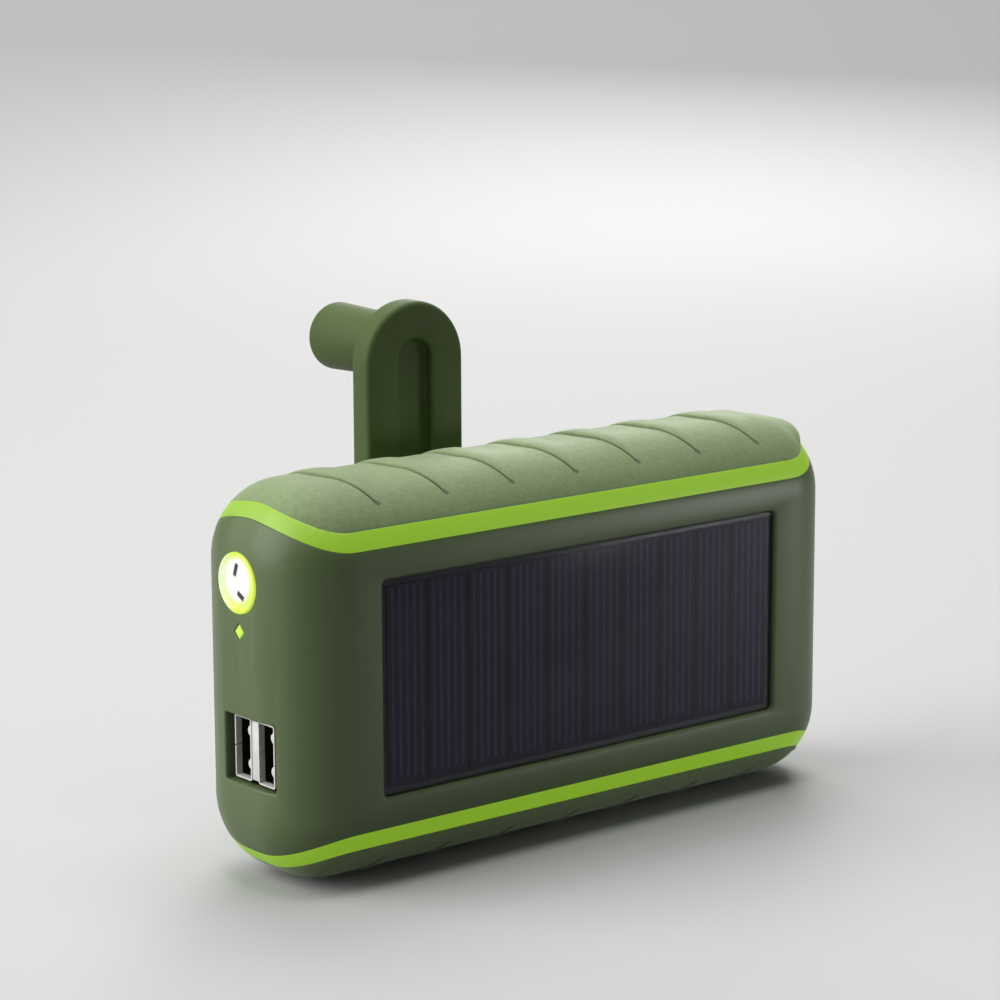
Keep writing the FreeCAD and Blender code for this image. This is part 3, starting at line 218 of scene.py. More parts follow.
class Wire:
    """An output socket of a shader node that can stand in a sum."""

    def __init__(self, graph, socket):
        self.graph = graph
        self.socket = socket

    def maths(self, operation, *values):
        """The Math node for an operation on values."""
        return self.graph.add("Math", {"operation": operation}, dict(enumerate(values)))

    def __add__(self, other):
        return self.maths("ADD", self, other)

    def __radd__(self, other):
        return self.maths("ADD", other, self)

    def __sub__(self, other):
        return self.maths("SUBTRACT", self, other)

    def __rsub__(self, other):
        return self.maths("SUBTRACT", other, self)

    def __mul__(self, other):
        return self.maths("MULTIPLY", self, other)

    def __truediv__(self, other):
        return self.maths("DIVIDE", self, other)

    def __lt__(self, other):
        return self.maths("LESS_THAN", self, other)

    def __abs__(self):
        return self.maths("ABSOLUTE", self)

    def fract(self):
        """What is left over a whole number."""
        return self.maths("FRACT", self)


class Graph:
    """The nodes of one material."""

    def __init__(self, name):
        self.material = bpy.data.materials.new(name)
        self.material.use_nodes = True
        self.tree = self.material.node_tree
        self.tree.nodes.clear()

    def add(self, kind, settings=None, inputs=None, output=None):
        """A node of a kind, with its settings made first, then its sockets set or linked."""
        node = self.tree.nodes.new("ShaderNode" + kind)
        for word, value in (settings or {}).items():
            setattr(node, word, value)
        for place, value in (inputs or {}).items():
            if isinstance(value, Wire):
                self.tree.links.new(value.socket, node.inputs[place])
            else:
                node.inputs[place].default_value = value
        if output is not None:
            return Wire(self, node.outputs[output])
        shown = [socket for socket in node.outputs if socket.enabled]
        return Wire(self, shown[0]) if shown else None

    def place(self, axis=None):
        """Places on the piece, in metres; one of X, Y and Z, or all three."""
        spot = self.add("TexCoord", output="Object")
        if axis is None:
            return spot
        return self.add("SeparateXYZ", inputs={0: spot}, output=axis)

    def noise(self, size, detail=2.0, roughness=0.5):
        """Noise with features of about a size in metres, from 0 to 1."""
        return self.add("TexNoise", inputs={"Vector": self.place(), "Scale": 1 / size,
                                            "Detail": detail, "Roughness": roughness},
                        output=0)

    def stretched(self, *scales):
        """Places on the piece, scaled by a factor along each axis."""
        return self.add("Mapping", {"vector_type": "POINT"},
                        {"Vector": self.place(), "Scale": scales})

    def streaks(self, *sizes):
        """Noise drawn out to a size along each axis, in metres."""
        spot = self.stretched(*(1 / size for size in sizes))
        return self.add("TexNoise", inputs={"Vector": spot, "Scale": 1.0, "Detail": 2.0},
                        output=0)

    def between(self, value, low, high, start=0.0, end=1.0):
        """A value taken from one range to another, held at its ends."""
        return self.add("MapRange", {"clamp": True},
                        {0: value, 1: low, 2: high, 3: start, 4: end}, output=0)

    def mix(self, factor, first, second):
        """A colour between two colours."""
        return self.add("Mix", {"data_type": "RGBA"},
                        {"Factor": factor, 6: shade(first), 7: shade(second)}, output=2)

    def bump(self, height, depth, strength=1.0):
        """A normal that follows a height of 0 to 1, scaled to a depth in metres."""
        return self.add("Bump", inputs={"Height": height, "Distance": depth,
                                        "Strength": strength})

    def surface(self, **inputs):
        """A Principled shader whose sockets are named with underscores for spaces."""
        values = {word.replace("_", " "): value for word, value in inputs.items()}
        values = {word: shade(value) if "Color" in word or "Tint" in word else value
                  for word, value in values.items()}
        return self.add("BsdfPrincipled", inputs=values)

    def finish(self, shader):
        """Ends the material with a shader."""
        self.add("OutputMaterial", inputs={"Surface": shader})
        return self.material


def shade(value):
    """A colour with an alpha of 1, or a wire as it is."""
    return value if isinstance(value, Wire) else (*tuple(value)[:3], 1.0)


def distance(first, second):
    """Length of a line with two legs at a right angle."""
    square = first * first + second * second
    return square.maths("SQRT", square)


def scaled(colour_value, factor):
    """A colour made lighter or darker."""
    return tuple(min(1.0, part * factor) for part in colour_value)


# ---------------------------------------------------------------- finishes

def moulded_plastic(name, base, roughness, grain=0.00022, specular=0.4, glow=(0.0, 0.0, 0.0)):
    """Satin moulded plastic: a spark-eroded grain and slow changes of tone."""
    graph = Graph(name)
    cloud = graph.noise(0.035, 3.0)
    fine = graph.noise(grain, 2.0, 0.6)
    tone = graph.mix(cloud, scaled(base, 0.9), scaled(base, 1.12))
    rough = graph.between(fine * 0.6 + cloud * 0.4, 0.3, 0.7, roughness - 0.05, roughness + 0.06)
    return graph.finish(graph.surface(
        Base_Color=tone, Roughness=rough, Specular_IOR_Level=specular,
        Emission_Color=glow, Emission_Strength=1.0, Normal=graph.bump(fine, 0.00001)))


def grained_rubber(name, base, crease_shaded=False):
    """Soft rubber with a fine matt grain and a pale bloom, with painted shade in the ribs'
    creases.
    """
    grain = 0.00042
    graph = Graph(name)
    fine = graph.noise(grain, 3.0, 0.65)
    coarse = graph.noise(grain * 3.1, 2.0)
    cloud = graph.noise(0.024, 3.0)
    height = fine * 0.7 + coarse * 0.3
    tone = graph.mix(graph.between(height * 0.75 + cloud * 0.25, 0.32, 0.68),
                     scaled(base, 0.76), scaled(base, 1.22))
    # Painted shade: the ribs' creases and pits are darkened in the colour, where shade falls.
    if crease_shaded:
        tone = graph.mix(painted_crease_shade(graph) * 0.85, tone, scaled(base, 0.2))
    rough = graph.between(height, 0.3, 0.7, 0.72, 0.58)
    return graph.finish(graph.surface(
        Base_Color=tone, Roughness=rough, Specular_IOR_Level=0.4,
        Sheen_Weight=0.35, Sheen_Roughness=0.5, Sheen_Tint=(0.86, 0.95, 0.76),
        Normal=graph.bump(height, 0.0001, 0.75)))


def painted_crease_shade(graph):
    """Painted shade: where the creases in front of the grips' ribs and the pits at their ends
    darken the colour, as shade falls there.
    """
    sizes = bpy.context.scene.power_bank_case
    depth = graph.place("Y")
    back = depth - sizes.rib_edge_back
    arc = sizes.rib_edge_radius ** 2 - back * back
    lead = graph.place("X") - (sizes.rib_middle + sizes.rib_edge_shift) + arc.maths("SQRT", arc)
    count = lead / sizes.rib_pitch
    part = (count + 0.5).fract() - 0.5
    near = part * sizes.rib_pitch
    over = abs(depth) + (CASE_FRONT + sizes.section_corner)
    rise = graph.place("Z") - MIDDLE
    flat = HALF_HEIGHT - sizes.rib_height - sizes.section_corner
    turn = over.maths("ARCTAN2", over.maths("MAXIMUM", over, 0.0), abs(rise) - flat)
    beyond = (turn - rib_end(sizes)) * sizes.section_corner
    aside = near + 0.1 * MM
    # A painted shade line along each rib's crease, darkest near its pit, and a painted shade dot
    # at the pit.
    line = (graph.between(abs(aside), 0.34 * MM, 0.12 * MM)
            * graph.between(beyond, 0.1 * MM, -0.3 * MM)
            * graph.between(turn, 0.25, 0.55, 0.55, 1.0))
    dot = graph.between(distance(near, beyond), 0.85 * MM, 0.55 * MM)
    within = abs(count) < len(RIB_NUMBERS) / 2
    return line.maths("MAXIMUM", line, dot) * within


def metal(name, base, roughness, brush_axis="X"):
    """Sheet or turned metal with fine lines along an axis."""
    graph = Graph(name)
    lines = graph.streaks(*(0.006 if axis == brush_axis else 0.0002 for axis in "XYZ"))
    tone = graph.mix(lines, scaled(base, 0.86), scaled(base, 1.1))
    rough = graph.between(lines, 0.3, 0.7, roughness - 0.07, roughness + 0.08)
    return graph.finish(graph.surface(
        Base_Color=tone, Metallic=1.0, Roughness=rough, Normal=graph.bump(lines, 0.000004)))


def tinned_sheet(name):
    """Dull tin-plated sheet: pale and cloudy, with fine rolling lines."""
    graph = Graph(name)
    cloud = graph.noise(0.0022, 3.0)
    lines = graph.streaks(0.00012, 0.00012, 0.003)
    tone = graph.mix(cloud * 0.6 + lines * 0.4, (0.62, 0.6, 0.58), (0.86, 0.85, 0.83))
    return graph.finish(graph.surface(
        Base_Color=tone, Metallic=graph.between(cloud, 0.3, 0.7, 0.12, 0.28),
        Roughness=graph.between(lines, 0.3, 0.7, 0.4, 0.52),
        Normal=graph.bump(lines, 0.000004)))


def solar_silicon(name, base, fingers):
    """Dark cells: ten strips with five fine upright fingers each, and a faint bloom."""
    graph = Graph(name)
    low, high = span("solar_cells", "X")
    pitch = (high - low) / CELL_COUNT
    strip = (graph.place("X") - low) / pitch
    within = (strip.fract() - 0.5) / FINGER_STEP
    reach = abs(within)
    near = (within + 0.5).fract() - 0.5
    finger = graph.between(abs(near), 0.2, 0.07) * (reach < FINGER_COUNT / 2)
    worn = graph.between(graph.noise(0.0016), 0.2, 0.6, 0.45, 1.0)
    bloom = graph.between(graph.noise(0.03, 2.0), 0.3, 0.7, 0.75, 1.3)
    grey = graph.noise(0.004, 3.0)
    silicon = graph.mix(grey, scaled(base, 0.8), scaled(base, 1.35))
    silicon = graph.mix(graph.between(reach, 2.45, 2.7), silicon, (0.012, 0.013, 0.012))
    foot, head = span("solar_cells", "Z")
    rise = graph.place("Z")
    framed = (graph.between(rise, foot + 1.2 * MM, foot + 2.2 * MM)
              * graph.between(rise, head - 0.3 * MM, head - 0.9 * MM))
    lines = graph.mix(finger * worn * bloom * framed * 0.85, silicon, fingers)
    return graph.finish(graph.surface(Base_Color=lines, Roughness=0.36, Metallic=0.2,
                                      Specular_IOR_Level=0.4))


def clear_cover(name):
    """A clear cast cover: see-through, with gloss that grows towards its edges."""
    graph = Graph(name)
    wave = graph.noise(0.012, 2.0)
    gloss = graph.surface(Base_Color=(0.02, 0.02, 0.025), Roughness=0.16,
                          Specular_IOR_Level=0.8, Normal=graph.bump(wave, 0.00002, 0.6))
    clear = graph.add("BsdfTransparent", inputs={"Color": (0.93, 0.93, 0.95, 1.0)})
    edge = graph.add("Fresnel", inputs={"IOR": 1.45})
    return graph.finish(graph.add("MixShader", inputs={
        0: graph.between(edge, 0.0, 0.6, 0.03, 0.5), 1: clear, 2: gloss}))


def around(graph, node):
    """Places across and up from a fixed part's middle, in millimetres."""
    middle = centre(node)
    return (graph.place("Y") - middle.y) / MM, (graph.place("Z") - middle.z) / MM


def slit(graph, across, rise, spot, half_length, half_width, angle):
    """A dark bar at a spot, with its long way turned from level by an angle."""
    over, up = across - spot[0], rise - spot[1]
    turn, side = math.cos(math.radians(angle)), math.sin(math.radians(angle))
    along = over * turn + up * side
    beside = up * turn - over * side
    return (graph.between(abs(along), half_length, half_length - 0.35)
            * graph.between(abs(beside), half_width, half_width - 0.25))


def glowing_lens(name):
    """The lit torch lens: white, with two dark bars of the lamp's holder behind it."""
    graph = Graph(name)
    across, rise = around(graph, "torch_lens")
    aside, above = across - 0.8, rise - 0.4
    reach = distance(aside, above)
    bars = (slit(graph, across, rise, (1.0, 2.5), 1.5, 0.75, 103.0)
            + slit(graph, across, rise, (-0.6, -2.6), 1.3, 0.75, 32.0))
    glow = graph.mix(graph.between(reach, 3.9, 5.0), (1.0, 1.0, 1.0), (0.72, 1.0, 0.1))
    seen = graph.mix(bars, glow, (0.012, 0.01, 0.016))
    return graph.finish(graph.surface(
        Base_Color=graph.mix(bars, (0.16, 0.16, 0.15), (0.01, 0.01, 0.012)), Roughness=0.25,
        Emission_Color=seen, Emission_Strength=0.86))


def glowing_lime(name):
    """Clear lime plastic that the torch lights from inside, brightest by the lens."""
    graph = Graph(name)
    across, rise = around(graph, "torch_bezel")
    reach = distance(across, rise)
    cloud = graph.noise(0.003, 2.0)
    near = graph.between(reach + across * 0.12, 5.2, 6.5)
    light = graph.mix(near, (0.86, 1.0, 0.12), (0.4, 0.62, 0.01))
    light = graph.mix(graph.between(across, 0.5, 5.0), light, (1.0, 1.0, 0.9))
    light = graph.mix(cloud * 0.3, light, (0.5, 0.8, 0.02))
    return graph.finish(graph.surface(
        Base_Color=(0.3, 0.45, 0.02), Roughness=0.25, Emission_Color=light,
        Emission_Strength=0.72, Coat_Weight=0.3, Coat_Roughness=0.1))


def lime_mark(name):
    """The small lit diamond: pale lime, darker towards its edges."""
    graph = Graph(name)
    across, rise = around(graph, "indicator_lens")
    reach = abs(across) + abs(rise)
    light = graph.mix(graph.between(reach, 0.7, 1.6), (0.55, 0.9, 0.12), (0.1, 0.2, 0.005))
    return graph.finish(graph.surface(
        Base_Color=(0.3, 0.5, 0.03), Roughness=0.3, Emission_Color=light,
        Emission_Strength=0.8))


def printed_board(name, base=(0.012, 0.07, 0.03), coat=0.4):
    """Solder-masked board with faint copper tracks under the mask."""
    graph = Graph(name)
    spot = graph.stretched(700.0, 700.0, 700.0)
    tracks = graph.add("TexBrick", inputs={"Vector": spot, "Scale": 1.0, "Mortar Size": 0.07},
                       output="Fac")
    tone = graph.mix(tracks, base, scaled(base, 1.8))
    return graph.finish(graph.surface(Base_Color=tone, Roughness=0.35, Coat_Weight=coat,
                                      Normal=graph.bump(tracks, 0.00003)))


def foil_pack(name):
    """Crinkled silver pouch."""
    graph = Graph(name)
    folds = graph.noise(0.006, 4.0, 0.6)
    tone = graph.mix(folds, (0.42, 0.43, 0.45), (0.66, 0.66, 0.68))
    return graph.finish(graph.surface(Base_Color=tone, Metallic=0.85, Roughness=0.38,
                                      Normal=graph.bump(folds, 0.0004)))


def copper_winding(name):
    """Enamelled wire, wound round the generator's axis."""
    graph = Graph(name)
    turns = graph.place("Y") * (math.tau / (0.45 * MM))
    ridge = turns.maths("SINE", turns) * 0.5 + 0.5
    tone = graph.mix(ridge, (0.25, 0.08, 0.03), (0.72, 0.33, 0.12))
    return graph.finish(graph.surface(Base_Color=tone, Metallic=0.8, Roughness=0.3,
                                      Normal=graph.bump(ridge, 0.00015)))


def backdrop_paint(name, base):
    """Plain pale paint that throws little light back on what stands on it."""
    graph = Graph(name)
    grain = graph.noise(0.5, 3.0)
    seen = sum(graph.add("LightPath", output=f"Is {way} Ray")
               for way in ("Camera", "Glossy", "Transmission"))
    pale = graph.mix(grain, scaled(base, 0.99), scaled(base, 1.01))
    tone = graph.mix(graph.between(seen, 0.0, 1.0), scaled(base, 0.28), pale)
    return graph.finish(graph.surface(Base_Color=tone, Roughness=0.85, Specular_IOR_Level=0.2))


def make_finishes():
    """Every material slot of the record, with its finish."""
    shades = bpy.context.scene.power_bank_finishes
    return {
        "olive_case": moulded_plastic("olive_case", shades.case, 0.4),
        "olive_grip": grained_rubber("olive_grip", shades.grip, crease_shaded=True),
        "olive_crank": moulded_plastic("olive_crank", shades.crank, 0.55, specular=0.18),
        "lime_band": moulded_plastic("lime_band", shades.band, 0.4, 0.0003, glow=shades.glow),
        "solar_blue": solar_silicon("solar_blue", shades.cells, shades.fingers),
        "circuit_green": printed_board("circuit_green"),
        "black_laminate": printed_board("black_laminate", (0.004, 0.004, 0.005), 0.1),
        "clear_resin": clear_cover("clear_resin"),
        "torch_lens": glowing_lens("torch_lens"),
        "lime_clear": glowing_lime("lime_clear"),
        "chrome": metal("chrome", (0.9, 0.9, 0.9), 0.12),
        "white_plastic": moulded_plastic("white_plastic", (0.8, 0.8, 0.78), 0.4),
        "steel": metal("steel", (0.66, 0.64, 0.61), 0.26),
        "black_plastic": moulded_plastic("black_plastic", (0.012, 0.012, 0.012), 0.35),
        "gold": metal("gold", (0.9, 0.62, 0.22), 0.2),
        "silver_pack": foil_pack("silver_pack"),
        "foam": grained_rubber("foam", (0.03, 0.03, 0.03)),
        "gear_white": moulded_plastic("gear_white", (0.75, 0.73, 0.66), 0.38),
        "plate_steel": metal("plate_steel", (0.5, 0.51, 0.53), 0.34),
        "bush_brass": metal("bush_brass", (0.78, 0.56, 0.22), 0.25, "Y"),
        "copper": copper_winding("copper"),
        "magnet": metal("magnet", (0.2, 0.2, 0.21), 0.3, "Y"),
    }


FINISHES = {}


# ---------------------------------------------------------------- bench tools

def everything(bm):
    """All parts of a mesh."""
    return bm.verts[:] + bm.edges[:] + bm.faces[:]


def runs_along(edge, axis):
    """True for an edge parallel to an axis."""
    way = edge.verts[1].co - edge.verts[0].co
    return way.length > TINY and abs(abs(way.normalized().dot(AXES[axis])) - 1) < 1e-4


def lies_at(edge, axis, place):
    """True for an edge in a plane across an axis."""
    count = "XYZ".index(axis)
    return all(abs(vert.co[count] - place) < TINY * 10 for vert in edge.verts)


def edges_along(bm, axis):
    """The edges of a mesh that are parallel to an axis."""
    return [edge for edge in bm.edges if runs_along(edge, axis)]


def edges_at(bm, axis, place):
    """The edges of a mesh that lie in a plane across an axis."""
    return [edge for edge in bm.edges if lies_at(edge, axis, place)]


def round_edges(bm, edges, radius, steps):
    """Rounds edges with an arc of so many steps."""
    bmesh.ops.bevel(bm, geom=edges, offset=radius, offset_type="OFFSET", segments=steps,
                    profile=0.5, affect="EDGES", material=-1, clamp_overlap=False)
    bmesh.ops.remove_doubles(bm, verts=bm.verts, dist=TINY)


def round_corner(bm, vert, radius, steps):
    """Rounds a corner of an open outline with an arc of so many steps."""
    bmesh.ops.bevel(bm, geom=[vert], offset=radius, offset_type="OFFSET", segments=steps,
                    profile=0.5, affect="VERTICES", material=-1)


def chain(bm, places):
    """An open outline through places, in their order; gives its vertices."""
    verts = [bm.verts.new(place) for place in places]
    for first, second in zip(verts, verts[1:]):
        bm.edges.new((first, second))
    return verts


def slice_mesh(bm, axis, places):
    """Adds an edge loop at each place along an axis."""
    for place in places:
        bmesh.ops.bisect_plane(bm, geom=everything(bm), dist=TINY / 10,
                               plane_co=AXES[axis] * place, plane_no=AXES[axis])


def keep_side(bm, axis, place, side):
    """Cuts a mesh at a plane and keeps its high side (1) or its low side (-1)."""
    bmesh.ops.bisect_plane(bm, geom=everything(bm), dist=TINY / 10,
                           plane_co=AXES[axis] * place, plane_no=AXES[axis],
                           clear_inner=side > 0, clear_outer=side < 0)


def close_flat(bm, axis, place, rows):
    """Caps the open rim in a plane across an axis, also past a gap, with rows along Y."""
    rim = [edge for edge in bm.edges if edge.is_boundary and lies_at(edge, axis, place)]
    links = {vert: [edge for edge in vert.link_edges if edge in rim]
             for edge in rim for vert in edge.verts}
    ends = [vert for vert, edges in links.items() if len(edges) == 1]
    if len(ends) == 2:
        rim.append(bm.edges.new(ends))
    caps = bmesh.ops.holes_fill(bm, edges=rim, sides=0)["faces"]
    for row in rows:
        parts = {*caps, *(part for cap in caps for part in (*cap.edges, *cap.verts))}
        cut = bmesh.ops.bisect_plane(bm, geom=list(parts), dist=0.02 * MM,
                                     plane_co=AXES["Y"] * row, plane_no=AXES["Y"])
        caps = [part for part in cut["geom"] if isinstance(part, bmesh.types.BMFace)]


def close_rim(bm):
    """Caps every open rim of a mesh with a flat face."""
    bmesh.ops.holes_fill(bm, edges=[edge for edge in bm.edges if edge.is_boundary], sides=0)
    bmesh.ops.recalc_face_normals(bm, faces=bm.faces)


def quarter(width, depth):
    """How far a rounded edge of a width has drawn back at a depth under its rim."""
    return width - math.sqrt(max(0.0, width ** 2 - (width - depth) ** 2))


def edge_rows(place, way, width):
    """Places of the rows that a rounded edge needs, from its rim inwards."""
    steps = 4
    return [place + way * width * (1 - math.sin(math.pi / 2 * count / steps))
            for count in range(steps + 1)]


def shift_rim(bm, axis, place, way, width, share):
    """Moves a mesh aside near a plane by a rounded edge; `share` gives each vertex's part."""
    count = "XYZ".index(axis)
    bm.normal_update()
    moves = []
    for vert in bm.verts:
        depth = max(0.0, (vert.co[count] - place) * way)
        if depth < width:
            aside = vert.normal.copy()
            aside[count] = 0.0
            moves.append((vert, aside.normalized() * quarter(width, depth) * share(vert)))
    for vert, move in moves:
        vert.co += move


def draw_in(bm, axis, place, way, width):
    """Rounds the rim of an open skin at a plane, `way` being the side that the skin is on."""
    slice_mesh(bm, axis, edge_rows(place, way, width)[:-1])
    shift_rim(bm, axis, place, way, width, lambda vert: -1.0)


def flare(bm, axis, place, way, width, fall=None):
    """Widens a cutter towards a surface, so that the opening gets a rounded lip.

    `way` points into the material. `fall` gives how far a curved surface has fallen back
    at a vertex.
    """
    count = "XYZ".index(axis)
    if fall is not None:
        for vert in bm.verts:
            vert.co[count] -= way * fall(vert.co)
    slice_mesh(bm, axis, edge_rows(place, way, width))
    shift_rim(bm, axis, place, way, width, lambda vert: vert.calc_shell_factor())
    if fall is not None:
        for vert in bm.verts:
            vert.co[count] += way * fall(vert.co)
    return bm


def slab(low, high):
    """A block between two corners."""
    bm = bmesh.new()
    bmesh.ops.create_cube(bm, size=1.0)
    low, high = Vector(low), Vector(high)
    bmesh.ops.scale(bm, vec=high - low, verts=bm.verts)
    bmesh.ops.translate(bm, vec=(low + high) / 2, verts=bm.verts)
    return bm


def stand_along(bm, axis, across, along):
    """Turns a form made along Z to an axis, and moves it across and along that axis."""
    middle = list(across)
    middle.insert("XYZ".index(axis), along)
    turn = {"X": Matrix.Rotation(math.pi / 2, 3, "Y"), "Y": Matrix.Rotation(-math.pi / 2, 3, "X"),
            "Z": Matrix.Identity(3)}[axis]
    bmesh.ops.rotate(bm, cent=(0, 0, 0), matrix=turn, verts=bm.verts)
    bmesh.ops.translate(bm, vec=middle, verts=bm.verts)
    return bm


def drum(axis, low, high, across, radius, steps=64):
    """A closed round form from `low` to `high` along an axis."""
    bm = bmesh.new()
    bmesh.ops.create_cone(bm, cap_ends=True, segments=steps, radius1=radius, radius2=radius,
                          depth=high - low)
    return stand_along(bm, axis, across, (low + high) / 2)


def turned(axis, across, profile, steps=64, fillets=()):
    """A form turned about an axis from its half profile: radius and place along the axis.

    `fillets` gives corners of the profile to round: their number, radius and steps.
    """
    bm = bmesh.new()
    verts = chain(bm, [(radius, 0, place) for radius, place in profile])
    for number, radius, count in fillets:
        round_corner(bm, verts[number], radius, count)
    bmesh.ops.spin(bm, geom=bm.verts[:] + bm.edges[:], cent=(0, 0, 0), axis=(0, 0, 1),
                   angle=math.tau, steps=steps, use_merge=True)
    bmesh.ops.remove_doubles(bm, verts=bm.verts, dist=TINY)
    bmesh.ops.recalc_face_normals(bm, faces=bm.faces)
    return stand_along(bm, axis, across, 0.0)


def round_ended(low, high, across, half, start, end):
    """A plate between two depths, square at the height `start`, round about the height `end`."""
    tip = end + half if end > start else end - half
    bm = slab((across - half, low, min(start, tip)), (across + half, high, max(start, tip)))
    round_edges(bm, [edge for edge in edges_at(bm, "Z", tip) if runs_along(edge, "Y")],
                half * FULL_ROUND, 28)
    return bm


def as_object(bm, name):
    """A mesh as an object of the scene."""
    mesh = bpy.data.meshes.new(name)
    bm.to_mesh(mesh)
    bm.free()
    item = bpy.data.objects.new(name, mesh)
    bpy.context.scene.collection.objects.link(item)
    return item


def pour(target, item):
    """Adds an object's mesh to another mesh and takes the object away."""
    target.from_mesh(item.data)
    bpy.data.objects.remove(item)


def settle(item):
    """Applies an object's modifiers to its mesh."""
    view = bpy.context.evaluated_depsgraph_get()
    mesh = bpy.data.meshes.new_from_object(item.evaluated_get(view))
    item.modifiers.clear()
    old, item.data = item.data, mesh
    bpy.data.meshes.remove(old)
    return item


def combine(item, forms, operation):
    """Joins forms to an object (UNION), or cuts them from it (DIFFERENCE)."""
    for form in forms:
        tool = as_object(form, "tool")
        change = item.modifiers.new("combine", "BOOLEAN")
        change.operation = operation
        change.solver = "EXACT"
        change.object = tool
        bpy.context.view_layer.update()
        settle(item)
        bpy.data.objects.remove(tool)
    return item


def soften(item, width):
    """Rounds the sharp edges of an object a little."""
    change = item.modifiers.new("soft_edges", "BEVEL")
    change.width = width
    change.segments = 2
    change.limit_method = "ANGLE"
    change.angle_limit = math.radians(60.0)
    change.miter_outer = "MITER_ARC"
    change.use_clamp_overlap = True
    change.harden_normals = False
    return item


def thicken(item, thick):
    """Gives a skin its thickness, inwards."""
    change = item.modifiers.new("thickness", "SOLIDIFY")
    change.thickness = thick
    change.offset = -1.0
    return settle(item)


def dress(item, body, slot, *nodes, angle=32.0):
    """Finishes a piece: smooth shading, its material, its body and the node it stands for."""
    if item.modifiers:
        settle(item)
    mesh = item.data
    mesh.materials.clear()
    mesh.materials.append(FINISHES[slot])
    mesh.shade_smooth()
    mesh.set_sharp_from_angle(angle=math.radians(angle))
    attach(item, body)
    if nodes:
        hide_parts(*nodes)
    return item


# ---------------------------------------------------------------- case forms

def arch_fall(sizes, y):
    """How far an arched border has come down at a depth."""
    return math.sqrt(sizes.arch_radius ** 2 - y ** 2) - sizes.arch_radius


def lean(bm, sizes, level, way):
    """Leans a mesh so that the arched borders of one level become flat, or back."""
    for vert in bm.verts:
        vert.co.z += way * level * arch_fall(sizes, vert.co.y)


def border(sizes, outer):
    """Height of an arched border over the middle, at the case's middle plane."""
    return sizes.arch_radius - sizes.arch_drop + (sizes.band_height if outer else 0.0)


def case_form(sizes, inset=0.0, corner_steps=22, end_steps=14):
    """The outer form of the whole case, or the same form set in, about its own middle."""
    high = Vector((CASE_END, -CASE_FRONT, HALF_HEIGHT - sizes.rib_height))
    high -= Vector((inset, inset, inset))
    bm = slab(-high, high)
    round_edges(bm, edges_along(bm, "X"), sizes.section_corner - inset, corner_steps)
    ends = [edge for edge in bm.edges
            if lies_at(edge, "X", high.x) or lies_at(edge, "X", -high.x)]
    round_edges(bm, ends, sizes.end_rounding - inset, end_steps)
    if not inset:
        slice_mesh(bm, "Y", ARCH_ROWS)
    return bm


def between_borders(sizes, low, high):
    """The case's skin between two arched borders; each is a level and whether it is outer."""
    bm = case_form(sizes)
    for bound, side in ((low, 1), (high, -1)):
        if bound is None:
            continue
        level, outer = bound
        lean(bm, sizes, level, -1)
        keep_side(bm, "Z", level * border(sizes, outer), side)
        lean(bm, sizes, level, 1)
    return bm


def moulding(sizes, side):
    """A hollow shell of the case's middle, in front of the seam (-1) or behind it (1)."""
    bm = case_form(sizes)
    keep_side(bm, "Y", SEAM, side)
    if side < 0:
        draw_in(bm, "Y", SEAM, side, sizes.edge_softness)
    for level in (-1, 1):
        lean(bm, sizes, level, -1)
        keep_side(bm, "Z", level * border(sizes, False), -level)
        draw_in(bm, "Z", level * border(sizes, False), -level, sizes.edge_softness)
        lean(bm, sizes, level, 1)
    for level in (-1, 1):
        lean(bm, sizes, level, -1)
        close_flat(bm, "Z", level * border(sizes, False), ARCH_ROWS)
        lean(bm, sizes, level, 1)
    close_rim(bm)
    item = as_object(to_height(bm), "moulding")
    room = case_form(sizes, sizes.wall, 10, 8)
    keep_side(room, "Y", CASE_FRONT + sizes.front_wall, 1)
    close_rim(room)
    return combine(item, [to_height(room)], "DIFFERENCE")


def end_fall(sizes, spot):
    """How far the case's end has fallen back at a place."""
    flat = -CASE_FRONT - sizes.end_rounding
    return quarter(sizes.end_rounding, sizes.end_rounding - max(0.0, abs(spot.y) - flat))


def back_fall(sizes, spot):
    """How far the case's back has fallen away at a place."""
    flat = HALF_HEIGHT - sizes.rib_height - sizes.section_corner
    over = max(0.0, abs(spot.z - MIDDLE) - flat)
    return quarter(sizes.section_corner, sizes.section_corner - min(over, sizes.section_corner))


def edge_lead(sizes, y):
    """How far a rib's leading edge stands from its front end, at a depth."""
    back = y - sizes.rib_edge_back
    return sizes.rib_edge_shift - math.sqrt(sizes.rib_edge_radius ** 2 - back ** 2)


def rib_end(sizes):
    """Angle round the case's long edge at which a rib's leading edge ends."""
    over_y = (-CASE_FRONT - sizes.section_corner) - (sizes.rib_width / 2 - sizes.rib_corner)
    over_z = sizes.rib_corner - sizes.rib_height - sizes.section_corner
    reach = (sizes.rib_corner ** 2 - sizes.section_corner ** 2 - over_y ** 2 - over_z ** 2)
    reach /= 2 * sizes.section_corner * math.hypot(over_y, over_z)
    return math.asin(reach) - math.atan2(over_z, over_y)


